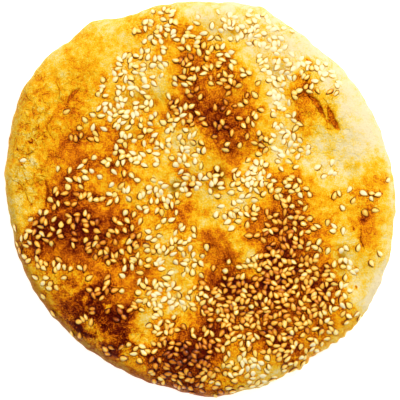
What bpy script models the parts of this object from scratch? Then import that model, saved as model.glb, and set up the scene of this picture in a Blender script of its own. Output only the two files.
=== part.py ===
"""Shaobing: a round, flat, leavened wheat bread with a sesame top, baked in one piece.

How the real one is made, and how it is built here:
- A ball of dough is pressed to a flat round, so the loaf is one side profile turned
  about the middle: a flat base, a curved lower edge, the widest place a little above
  the table, a rounded upper edge and a level top.
- Hands and oven leave the round uneven: the reach of the edge changes with the angle,
  the top rises in puffs, sinks in creases, and the thin skin tears in a few places.
- Sesame seeds are pressed into the wet top before baking, so each lies half sunk in
  the crust and is one body with it.

Frame: the base lies on z = 0 and the middle of the outline's box is the origin.
Lengths below are in millimetres and are turned to metres by MM.
"""
import math
import random

import bmesh
import bpy
import numpy as np
from mathutils import Matrix, Vector
from mathutils.bvhtree import BVHTree

MM = 0.001

# ---- loaf ---------------------------------------------------------------------
REACH = 82.1                # mean distance from the middle to the edge
OVAL = (2.5, 132.5)         # extra reach of the longer way across, and its direction
THICKNESS = 15.5            # level part of the top above the table
WIDEST_HEIGHT = 6.0         # the edge reaches out farthest here
BASE_SHARE = 0.89           # share of the reach that lies flat on the table
SHOULDER_SHARE = 0.845      # share of the reach where the upper edge begins to round
SHOULDER_POWER = 2.4        # 2 gives a true oval edge, more gives a fuller one
TURN_STEPS = 104
UNDERSIDE_STEPS = 4
EDGE_STEPS = 6
TOP_STEPS = 17

# Swells and dips of the outline: direction, half-width (degrees), outward (mm).
RIM_SWELLS = (
    (38, 18, 0.8),
    (50, 5, -0.4),
    (61, 6, 0.4),
    (71.5, 3, 1.2),
    (74, 9, 2.2),
    (104, 9, -1.1),
    (112.5, 5, -1.5),
    (122, 4, 2.1),
    (142, 4, -0.6),
    (144, 14, 3.3),
    (188, 10, -1.1),
    (243, 22, -0.8),
    (273, 6, 1.4),
    (301, 3, 1.2),
    (304, 12, -2.8),
    (318, 4, 0.5),
    (343, 3, 0.9),
    (346, 7, -0.9),
)

# ---- relief of the top ----------------------------------------------------------
# Puffs: middle x, y, half-length, half-width (mm), turn (degrees), rise (mm).
PUFFS = (
    (7.5, 39.5, 36, 23, 98, 3.2),       # high dome above the middle
    (-48.5, -14, 29, 20, 8, 3.0),       # left
    (-40, -49, 19, 16, 40, 2.4),        # lower left
    (35.5, -28, 37, 31, 60, 3.6),       # broad dome at the lower right
    (-4.5, -63.5, 21, 14, 5, 2.3),      # bottom
    (49.5, 36.5, 17, 11, -50, 2.6),     # blister that tore
    (68, -6.5, 20, 9, 85, 1.6),         # right edge
    (-52.5, 31, 29, 12, 78, 2.0),       # roll inside the left edge
    (-67, 44, 20, 12, 65, 1.2),         # left edge
    (-29.5, 16.5, 15, 13, 0, 1.3),
    (-8, -6, 9, 7, 0, 1.0),
    (31.5, -61, 19, 12, 10, 1.5),
)

# Creases between the puffs: start x, y, end x, y, half-width, depth (mm).
CREASES = (
    (29, 63, 35.5, 33.5, 5.0, 1.4),
    (35.5, 33.5, 33, 20, 5.0, 1.5),
    (33, 20, 6, 12, 6.0, 1.6),
    (0, 4, -16.5, -17, 7.0, 1.7),
    (-16.5, -17, -15, -43, 7.0, 1.8),
    (-15, -43, -23, -60, 5.0, 1.5),
    (63, 20.5, 61, -4, 7.0, 1.2),
    (60, -24, 64, -36, 6.0, 1.1),
)

# Slow waves over the whole top: length, direction (degrees), height (mm).
WAVES = (
    (31.0, 20, 0.35),
    (23.0, 85, 0.30),
    (17.0, 140, 0.22),
)

# ---- tears in the skin ------------------------------------------------------------
# Start x, y, end x, y, sideways bend, width, depth (mm).
TEARS = (
    (44.5, 43.0, 51.0, 34.0, 1.0, 2.4, 1.6),
    (53.0, 38.0, 57.5, 28.5, -0.8, 2.6, 1.7),
    (-49.8, 45.9, -55.0, 39.8, -0.6, 1.6, 0.7),
    (-64.4, 8.9, -64.9, -5.0, 1.6, 1.1, 0.7),
)
TEAR_STEPS = 6
TEAR_RAGGED = 0.22          # sideways wander of a tear at each step
TEAR_CLEAR = 2.6            # seeds stay this far from a tear

# ---- sesame ------------------------------------------------------------------------
SEED_LENGTH = 3.3
SEED_WIDTH = 2.0
SEED_THICKNESS = 1.1
SEED_TIP = 0.62             # width of the pointed end against the blunt end
SEED_TILT = 4.0             # usual lean of a seed off the crust, in degrees
SEED_GAP_SPARSE = 11.2      # distance between seeds where few were thrown
SEED_GAP_DENSE = 5.8        # distance between seeds where most fell
SEED_EDGE_SHARE = 0.95      # no seed lies farther out than this share of the reach
SEED_COUNT = 140
SEED_TRIALS = 12000

# Handfuls of seed: middle x, y, radius (mm), amount.
HANDFULS = (
    (29, -42, 31, 1.0),
    (35, -13, 19, 0.75),
    (-21, -21, 17, 0.55),
    (6, -59, 17, 0.70),
    (0, 58, 20, 0.45),
    (-21, 37, 17, 0.45),
    (-42, 8, 15, 0.40),
    (-50, -17, 19, 0.40),
    (-17, -4, 17, 0.35),
)
SOWN_LEAST = 0.22           # amount where seed only scattered

# The left edge stayed bare beyond a straight line, the right edge inside an oval.
BARE_LEFT = (148.4, 59.5)               # direction of the line's normal, its distance
BARE_RIGHT = (95.0, 42.0, 54.0, 75.0)   # middle x, y, half-width, half-height
BARE_LOWER = (-42.0, -67.0, 16.0, 8.0)  # small bare crescent by the lower left edge


def reach(angle):
    """Distance from the middle to the edge in the direction `angle` (radians)."""
    extra, direction = OVAL
    total = REACH + extra * np.cos(2.0 * (angle - math.radians(direction)))
    for middle, width, outward in RIM_SWELLS:
        turn = np.angle(np.exp(1j * (angle - math.radians(middle))))
        total = total + outward * np.exp(-(turn / math.radians(width)) ** 2)
    return total


def hump(x, y, middle_x, middle_y, half_length, half_width, turn):
    """1 at the middle of an oval, falling as a bell to about 0.37 at its edge."""
    cosine, sine = math.cos(math.radians(turn)), math.sin(math.radians(turn))
    along = ((x - middle_x) * cosine + (y - middle_y) * sine) / half_length
    across = ((y - middle_y) * cosine - (x - middle_x) * sine) / half_width
    return np.exp(-(along ** 2 + across ** 2) ** 1.25)


def distance_to_line(x, y, start_x, start_y, end_x, end_y):
    """Distance of a point from the straight piece between start and end."""
    run_x, run_y = end_x - start_x, end_y - start_y
    share = ((x - start_x) * run_x + (y - start_y) * run_y) / (run_x ** 2 + run_y ** 2)
    share = np.clip(share, 0.0, 1.0)
    return np.hypot(x - start_x - share * run_x, y - start_y - share * run_y)


def relief(x, y):
    """Rise of the top above its level: puffs, less creases, plus slow waves."""
    rise = np.zeros_like(x)
    for middle_x, middle_y, half_length, half_width, turn, height in PUFFS:
        rise += height * hump(x, y, middle_x, middle_y, half_length, half_width, turn)
    sink = np.zeros_like(x)
    for start_x, start_y, end_x, end_y, half_width, depth in CREASES:
        off = distance_to_line(x, y, start_x, start_y, end_x, end_y)
        sink = np.maximum(sink, depth * np.exp(-(off / half_width) ** 2))
    for length, direction, height in WAVES:
        along = x * math.cos(math.radians(direction)) + y * math.sin(math.radians(direction))
        rise += height * np.sin(2.0 * math.pi * along / length)
    return rise - sink


def side_profile():
    """Half section from the middle of the base round to the middle of the top.

    Each point is (share of the reach, height). The lower edge is a quarter oval from
    the flat base to the widest place, the upper edge a fuller quarter oval from there
    to the shoulder, and the top runs level to the middle.
    """
    points = [(0.0, 0.0)]
    for step in range(UNDERSIDE_STEPS + 1):
        turn = 0.5 * math.pi * step / UNDERSIDE_STEPS
        share = BASE_SHARE + (1.0 - BASE_SHARE) * math.sin(turn)
        points.append((share, WIDEST_HEIGHT * (1.0 - math.cos(turn))))
    for step in range(1, EDGE_STEPS + 1):
        turn = 0.5 * math.pi * step / EDGE_STEPS
        inward = 1.0 - math.cos(turn) ** (2.0 / SHOULDER_POWER)
        share = 1.0 - (1.0 - SHOULDER_SHARE) * inward
        rise = math.sin(turn) ** (2.0 / SHOULDER_POWER)
        points.append((share, WIDEST_HEIGHT + (THICKNESS - WIDEST_HEIGHT) * rise))
    for step in range(1, TOP_STEPS + 1):
        points.append((SHOULDER_SHARE * (1.0 - step / TOP_STEPS), THICKNESS))
    return points


def turned_loaf():
    """The profile turned full circle about +Z, then shaped as hands and oven left it."""
    mesh = bmesh.new()
    corners = []
    for share, height in side_profile():
        corners.append(mesh.verts.new((share * REACH, 0.0, height)))
    edges = []
    for before, after in zip(corners, corners[1:]):
        edges.append(mesh.edges.new((before, after)))
    bmesh.ops.spin(
        mesh,
        geom=corners + edges,
        cent=(0.0, 0.0, 0.0),
        axis=(0.0, 0.0, 1.0),
        angle=2.0 * math.pi,
        steps=TURN_STEPS,
        use_merge=True,
    )
    bmesh.ops.remove_doubles(mesh, verts=mesh.verts, dist=0.01)

    flat = np.array([vert.co[:] for vert in mesh.verts])
    angle = np.arctan2(flat[:, 1], flat[:, 0])
    share = np.hypot(flat[:, 0], flat[:, 1]) / REACH
    x = share * reach(angle) * np.cos(angle)
    y = share * reach(angle) * np.sin(angle)
    lift = np.clip((flat[:, 2] - WIDEST_HEIGHT) / (THICKNESS - WIDEST_HEIGHT), 0.0, 1.0)
    z = flat[:, 2] + lift * relief(x, y)
    x -= 0.5 * (x.min() + x.max())
    y -= 0.5 * (y.min() + y.max())
    for vert, place in zip(mesh.verts, np.stack((x, y, z), axis=1)):
        vert.co = Vector(place) * MM

    bmesh.ops.recalc_face_normals(mesh, faces=mesh.faces)
    bmesh.ops.triangulate(mesh, faces=mesh.faces, quad_method="SHORT_EDGE")
    return mesh


def tear_path(tear, draw):
    """Points along a tear: a straight run with one bend and a small random wander."""
    start_x, start_y, end_x, end_y, bend, _, _ = tear
    run = Vector((end_x - start_x, end_y - start_y))
    side = Vector((-run.y, run.x)).normalized()
    path = []
    for step in range(TEAR_STEPS + 1):
        share = step / TEAR_STEPS
        off = bend * math.sin(math.pi * share) + draw.uniform(-TEAR_RAGGED, TEAR_RAGGED)
        path.append(Vector((start_x, start_y)) + run * share + side * off)
    return path, side


def tear_wedge(tear, loaf_tree, draw):
    """A wedge along the tear, wide above the crust and sharp below, to cut it open."""
    width, depth = tear[5], tear[6]
    path, side = tear_path(tear, draw)
    mesh = bmesh.new()
    rows = []
    for step, spot in enumerate(path):
        swell = math.sin(math.pi * (step + 0.35) / (TEAR_STEPS + 0.7))
        top = surface_point(loaf_tree, spot.x, spot.y)[0].z
        half = 0.5 * width * swell
        row = []
        for off, height in ((-2.0 * half, depth), (2.0 * half, depth), (0.0, -depth * swell)):
            place = spot + side * off
            row.append(mesh.verts.new((place.x * MM, place.y * MM, top + height * MM)))
        rows.append(row)
    for before, after in zip(rows, rows[1:]):
        for corner in range(3):
            following = (corner + 1) % 3
            mesh.faces.new((before[corner], before[following], after[following], after[corner]))
    mesh.faces.new(rows[0])
    mesh.faces.new(reversed(rows[-1]))
    bmesh.ops.recalc_face_normals(mesh, faces=mesh.faces)
    return mesh


def surface_point(tree, x, y):
    """Where a plumb line at (x, y) meets the top, and the outward direction there."""
    above = Vector((x * MM, y * MM, 3.0 * THICKNESS * MM))
    place, normal, _, _ = tree.ray_cast(above, Vector((0.0, 0.0, -1.0)))
    if normal.z < 0.0:
        normal = -normal
    return place, normal


def bare(x, y):
    """True where the real crust carries no seed."""
    direction, distance = BARE_LEFT
    out = x * math.cos(math.radians(direction)) + y * math.sin(math.radians(direction))
    if out > distance:
        return True
    for middle_x, middle_y, half_width, half_height in (BARE_RIGHT, BARE_LOWER):
        if math.hypot((x - middle_x) / half_width, (y - middle_y) / half_height) < 1.0:
            return True
    return False


def amount_sown(x, y):
    """Share of seed at (x, y), 0 to 1: the nearest handful, never below the least."""
    amount = SOWN_LEAST
    for middle_x, middle_y, radius, strength in HANDFULS:
        off = math.hypot(x - middle_x, y - middle_y) / radius
        amount = max(amount, strength * math.exp(-0.5 * off ** 4))
    return min(amount, 1.0)


def seed_places(draw):
    """Seed middles drawn at random, each kept only if its neighbours are far enough."""
    places = []
    for _ in range(SEED_TRIALS):
        if len(places) == SEED_COUNT:
            break
        angle = draw.uniform(0.0, 2.0 * math.pi)
        share = SEED_EDGE_SHARE * math.sqrt(draw.random())
        x = share * float(reach(np.float64(angle))) * math.cos(angle)
        y = share * float(reach(np.float64(angle))) * math.sin(angle)
        if bare(x, y):
            continue
        gap = SEED_GAP_SPARSE + (SEED_GAP_DENSE - SEED_GAP_SPARSE) * amount_sown(x, y)
        if any(math.hypot(x - other[0], y - other[1]) < gap for other in places):
            continue
        if any(distance_to_line(x, y, *tear[:4]) < TEAR_CLEAR for tear in TEARS):
            continue
        places.append((x, y))
    return places


def seed_mesh():
    """One sesame seed: a ball stretched to length, flattened and drawn in at one end."""
    mesh = bmesh.new()
    bmesh.ops.create_icosphere(mesh, subdivisions=1, radius=0.5)
    bmesh.ops.rotate(mesh, verts=mesh.verts, matrix=Matrix.Rotation(0.5 * math.pi, 3, "Y"))
    for vert in mesh.verts:
        narrow = 1.0 + (SEED_TIP - 1.0) * (vert.co.x + 0.5)
        vert.co.x *= SEED_LENGTH
        vert.co.y *= SEED_WIDTH * narrow
        vert.co.z *= SEED_THICKNESS * narrow
        vert.co *= MM
    return mesh


def new_object(name, mesh, collection):
    """Turn a working mesh into a named object of the collection."""
    data = bpy.data.meshes.new(name)
    mesh.to_mesh(data)
    mesh.free()
    piece = bpy.data.objects.new(name, data)
    collection.objects.link(piece)
    return piece


def combine(body, helpers, operation):
    """Cut or fuse all objects of `helpers` in one step, then take them away."""
    step = body.modifiers.new("combine", "BOOLEAN")
    step.operation = operation
    step.operand_type = "COLLECTION"
    step.collection = helpers
    step.solver = "EXACT"
    with bpy.context.temp_override(object=body, active_object=body):
        bpy.ops.object.modifier_apply(modifier=step.name)
    for piece in list(helpers.objects):
        bpy.data.objects.remove(piece, do_unlink=True)
    bpy.data.collections.remove(helpers)


def helper_collection(name):
    """A collection for shapes that only cut or are fused."""
    helpers = bpy.data.collections.new(name)
    bpy.context.scene.collection.children.link(helpers)
    return helpers


def add_helper(name, mesh, helpers):
    """A shape that only cuts or is fused, drawn as wire and kept out of renders."""
    piece = new_object(name, mesh, helpers)
    piece.hide_render = True
    piece.display_type = "WIRE"
    return piece


def crust_material():
    """Baked wheat crust: golden brown, dull, with the faint shine of brushed oil."""
    material = bpy.data.materials.new("baked_crust")
    material.use_nodes = True
    shader = material.node_tree.nodes["Principled BSDF"]
    shader.inputs["Base Color"].default_value = (0.62, 0.27, 0.05, 1.0)
    shader.inputs["Roughness"].default_value = 0.6
    return material


def tree_of(piece):
    """Search tree over the faces of one object, for plumb lines onto it."""
    work = bmesh.new()
    work.from_mesh(piece.data)
    tree = BVHTree.FromBMesh(work)
    work.free()
    return tree


def build():
    """Loaf, then the tears cut into it, then the seeds fused onto it."""
    for piece in list(bpy.data.objects):
        bpy.data.objects.remove(piece, do_unlink=True)
    draw = random.Random(1207)

    loaf = new_object("shaobing", turned_loaf(), bpy.context.scene.collection)
    loaf_tree = tree_of(loaf)

    tears = helper_collection("tears")
    for number, tear in enumerate(TEARS):
        add_helper(f"tear_{number}", tear_wedge(tear, loaf_tree, draw), tears)
    combine(loaf, tears, "DIFFERENCE")

    seeds = helper_collection("seeds")
    for number, (x, y) in enumerate(seed_places(draw)):
        place, normal = surface_point(loaf_tree, x, y)
        lean = Vector((draw.gauss(0.0, 1.0), draw.gauss(0.0, 1.0), 0.0))
        upward = (normal + lean * math.sin(math.radians(SEED_TILT))).normalized()
        heading = Matrix.Rotation(draw.uniform(0.0, 2.0 * math.pi), 4, "Z")
        turn = upward.to_track_quat("Z", "Y").to_matrix().to_4x4()
        mesh = seed_mesh()
        bmesh.ops.transform(
            mesh,
            matrix=Matrix.Translation(place) @ turn @ heading,
            verts=mesh.verts,
        )
        add_helper(f"seed_{number}", mesh, seeds)
    combine(loaf, seeds, "UNION")

    loaf.data.materials.clear()
    loaf.data.materials.append(crust_material())
    for face in loaf.data.polygons:
        face.use_smooth = True


build()
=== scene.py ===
"""Looks of the shaobing: its baked crust and its sesame, with floor, light and camera.

The crust is one closed surface on a polar grid: a side profile carried round the middle,
stretched to the uneven outline and raised by the puffs, creases and tears that the solid
has, then roughened at the scale of flakes and crumbs. The seeds are true-size drops half
sunk in it. Where the oven browned the bread most is worked out once, as a share from pale
to scorched, and colours crust and seeds alike.

Lengths are in millimetres about the middle of the outline's box, and MM turns them to
metres where a mesh is written.
"""
import math

import bpy
import numpy as np
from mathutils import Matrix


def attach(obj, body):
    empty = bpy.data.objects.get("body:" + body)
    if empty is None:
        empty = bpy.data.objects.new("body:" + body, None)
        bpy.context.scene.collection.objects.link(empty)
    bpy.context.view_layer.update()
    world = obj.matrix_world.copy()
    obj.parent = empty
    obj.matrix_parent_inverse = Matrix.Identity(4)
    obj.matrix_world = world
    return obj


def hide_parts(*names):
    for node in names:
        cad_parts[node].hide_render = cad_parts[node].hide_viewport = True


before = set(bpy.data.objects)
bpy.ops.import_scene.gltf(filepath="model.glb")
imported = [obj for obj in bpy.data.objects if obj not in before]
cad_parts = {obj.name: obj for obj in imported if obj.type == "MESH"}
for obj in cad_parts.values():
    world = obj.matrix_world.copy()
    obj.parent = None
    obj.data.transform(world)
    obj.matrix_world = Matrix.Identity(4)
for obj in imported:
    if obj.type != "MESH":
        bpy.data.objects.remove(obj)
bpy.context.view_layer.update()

MM = 0.001

# ---- loaf: the same sizes as the solid's ------------------------------------------
REACH = 82.1                # radius of the outline before it is made oval and uneven
OVAL = (2.5, 132.5)         # how much farther along one axis, its direction (degrees)
THICKNESS = 15.5
WIDEST_HEIGHT = 6.0
BASE_SHARE = 0.89           # share of the reach at which the flat base ends
SHOULDER_SHARE = 0.845      # share of the reach at which the level top ends
SHOULDER_POWER = 2.4        # 2 makes the shoulder a quarter oval, more a fuller one

# Swells and dips of the outline: direction, half-width (degrees), outward (mm).
RIM_SWELLS = (
    (38, 18, 0.8),
    (50, 5, -0.4),
    (61, 6, 0.4),
    (71.5, 3, 1.2),
    (74, 9, 2.2),
    (104, 9, -1.1),
    (112.5, 5, -1.5),
    (122, 4, 2.1),
    (142, 4, -0.6),
    (144, 14, 3.3),
    (188, 10, -1.1),
    (243, 22, -0.8),
    (273, 6, 1.4),
    (301, 3, 1.2),
    (304, 12, -2.8),
    (318, 4, 0.5),
    (343, 3, 0.9),
    (346, 7, -0.9),
)

# Puffs: middle x, y, half-length, half-width (mm), turn (degrees), rise (mm).
PUFFS = (
    (7.5, 39.5, 36, 23, 98, 3.2),
    (-48.5, -14, 29, 20, 8, 3.0),
    (-40, -49, 19, 16, 40, 2.4),
    (35.5, -28, 37, 31, 60, 3.6),
    (-4.5, -63.5, 21, 14, 5, 2.3),
    (49.5, 36.5, 17, 11, -50, 2.6),
    (68, -6.5, 20, 9, 85, 1.6),
    (-52.5, 31, 29, 12, 78, 2.0),
    (-67, 44, 20, 12, 65, 1.2),
    (-29.5, 16.5, 15, 13, 0, 1.3),
    (-8, -6, 9, 7, 0, 1.0),
    (31.5, -61, 19, 12, 10, 1.5),
)
PUFF_EDGE = 2.5             # sharpness of a puff's edge

# Creases between the puffs: start x, y, end x, y, half-width, depth (mm).
CREASES = (
    (29, 63, 35.5, 33.5, 5.0, 1.4),
    (35.5, 33.5, 33, 20, 5.0, 1.5),
    (33, 20, 6, 12, 6.0, 1.6),
    (0, 4, -16.5, -17, 7.0, 1.7),
    (-16.5, -17, -15, -43, 7.0, 1.8),
    (-15, -43, -23, -60, 5.0, 1.5),
    (63, 20.5, 61, -4, 7.0, 1.2),
    (60, -24, 64, -36, 6.0, 1.1),
)

# Slow waves over the whole top: length, direction (degrees), height (mm).
WAVES = (
    (31.0, 20, 0.35),
    (23.0, 85, 0.30),
    (17.0, 140, 0.22),
)

# Tears in the skin: start x, y, end x, y, sideways bend, width, depth (mm).
TEARS = (
    (44.5, 43.0, 51.0, 34.0, 1.0, 2.4, 1.6),
    (53.0, 38.0, 57.5, 28.5, -0.8, 2.6, 1.7),
    (-49.8, 45.9, -55.0, 39.8, -0.6, 1.6, 0.7),
    (-64.4, 8.9, -64.9, -5.0, 1.6, 1.1, 0.7),
)
TEAR_RAGGED = (1.9, 0.45)   # length and size of the raggedness of a tear's sides
TEAR_SPREAD = 0.42          # half-width of a tear's groove, as a share of the tear's width

# Thin lines where the skin folded over itself: start x, y, end x, y, sideways bend (mm).
FOLDS = (
    (-73.4, 45.0, -70.0, 40.4, -0.7),
    (-59.8, 48.4, -58.5, 41.5, 0.8),
    (-60.6, 34.8, -63.9, 30.4, 0.4),
    (-63.9, 30.4, -61.4, 25.2, -0.3),
    (-76.2, 25.6, -74.6, 18.8, -1.2),
    (-74.6, 18.8, -68.6, 20.4, -1.0),
    (-76.4, 38.8, -76.2, 36.2, 0.2),
    (-60.8, 16.8, -58.0, 17.2, 0.5),
    (-66.6, 9.6, -64.5, 9.2, 0.2),
    (-74.0, 14.2, -73.0, 12.6, 0.2),
    (-63.2, -5.2, -65.6, -8.2, -0.4),
    (-73.9, 12.0, -71.9, 6.5, 0.3),
    (-78.6, 8.2, -72.6, 3.4, 0.6),
    (-72.6, 3.4, -69.6, -2.6, -0.5),
    (-71.0, 5.6, -64.9, 7.6, 0.3),
    (43.8, 49.2, 44.0, 44.4, 0.4),
    (39.0, 41.6, 42.6, 44.0, 0.6),
    (50.6, 41.6, 52.6, 39.4, 0.3),
    (-62.0, -45.6, -54.4, -51.4, -0.4),
    (-54.4, -51.4, -47.6, -57.4, -0.3),
    (-44.4, -56.0, -43.6, -60.4, 0.4),
    (66.4, -12.4, 67.8, -20.8, -0.8),
)
FOLD_RAGGED = (2.3, 0.3)    # length and size of the raggedness of a fold's line
FOLD_FADE = 0.5             # a fold fades over this much past its ends
FOLD_ASIDE = (2.0, 0.6)     # it is gone this far to either side, and fades over this much
NOWHERE_NEAR = 9.0          # distance that stands for no tear or fold at all

# Ripple of the outline too fine for the solid: waves round the edge, outward (mm).
RIM_RIPPLE = ((19, 0.12), (31, 0.14), (47, 0.12), (71, 0.10), (103, 0.07))
RIM_FLAKES = (308, 22, 0.45)    # flaky stretch: direction, half-width (degrees), size (mm)
RIM_JAGS = (83, 29, 137)        # waves round the edge that make that stretch jagged

# Unevenness too fine for the solid, as smooth noise: length, height (mm), seed.
LUMPS = (8.5, 0.34, 101)
CRUMBS = (2.8, 0.17, 111)
FLAKES = (2.4, 0.34, 131)
CURLS = (4.4, 0.5, 141)
DIMPLES = (6.0, 0.45, 121)

# Places where the thin skin flaked: middle x, y, half-length, half-width, turn, strength.
FLAKY = (
    (-71, 22, 34, 12, 84, 1.0),
    (-55, 40, 18, 10, 70, 0.6),
    (-40, -58, 28, 8, -35, 0.7),
    (50, 36, 14, 9, -50, 0.8),
    (56, -58, 22, 7, 40, 0.6),
    (14, -25, 12, 9, 0, 0.5),
)

# Places where small bubbles burst and left dark rings, with the same measures.
BUBBLED = (
    (-42, -52, 22, 14, -32, 1.0),
    (-57, -36, 12, 7, -40, 0.7),
    (-6, -64, 12, 7, 0, 0.6),
    (-72, 14, 8, 14, 0, 0.5),
    (6, 34, 15, 18, 0, 0.6),
)
PLACE_EDGE = 3.0            # sharpness of the edge of such a place

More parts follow.
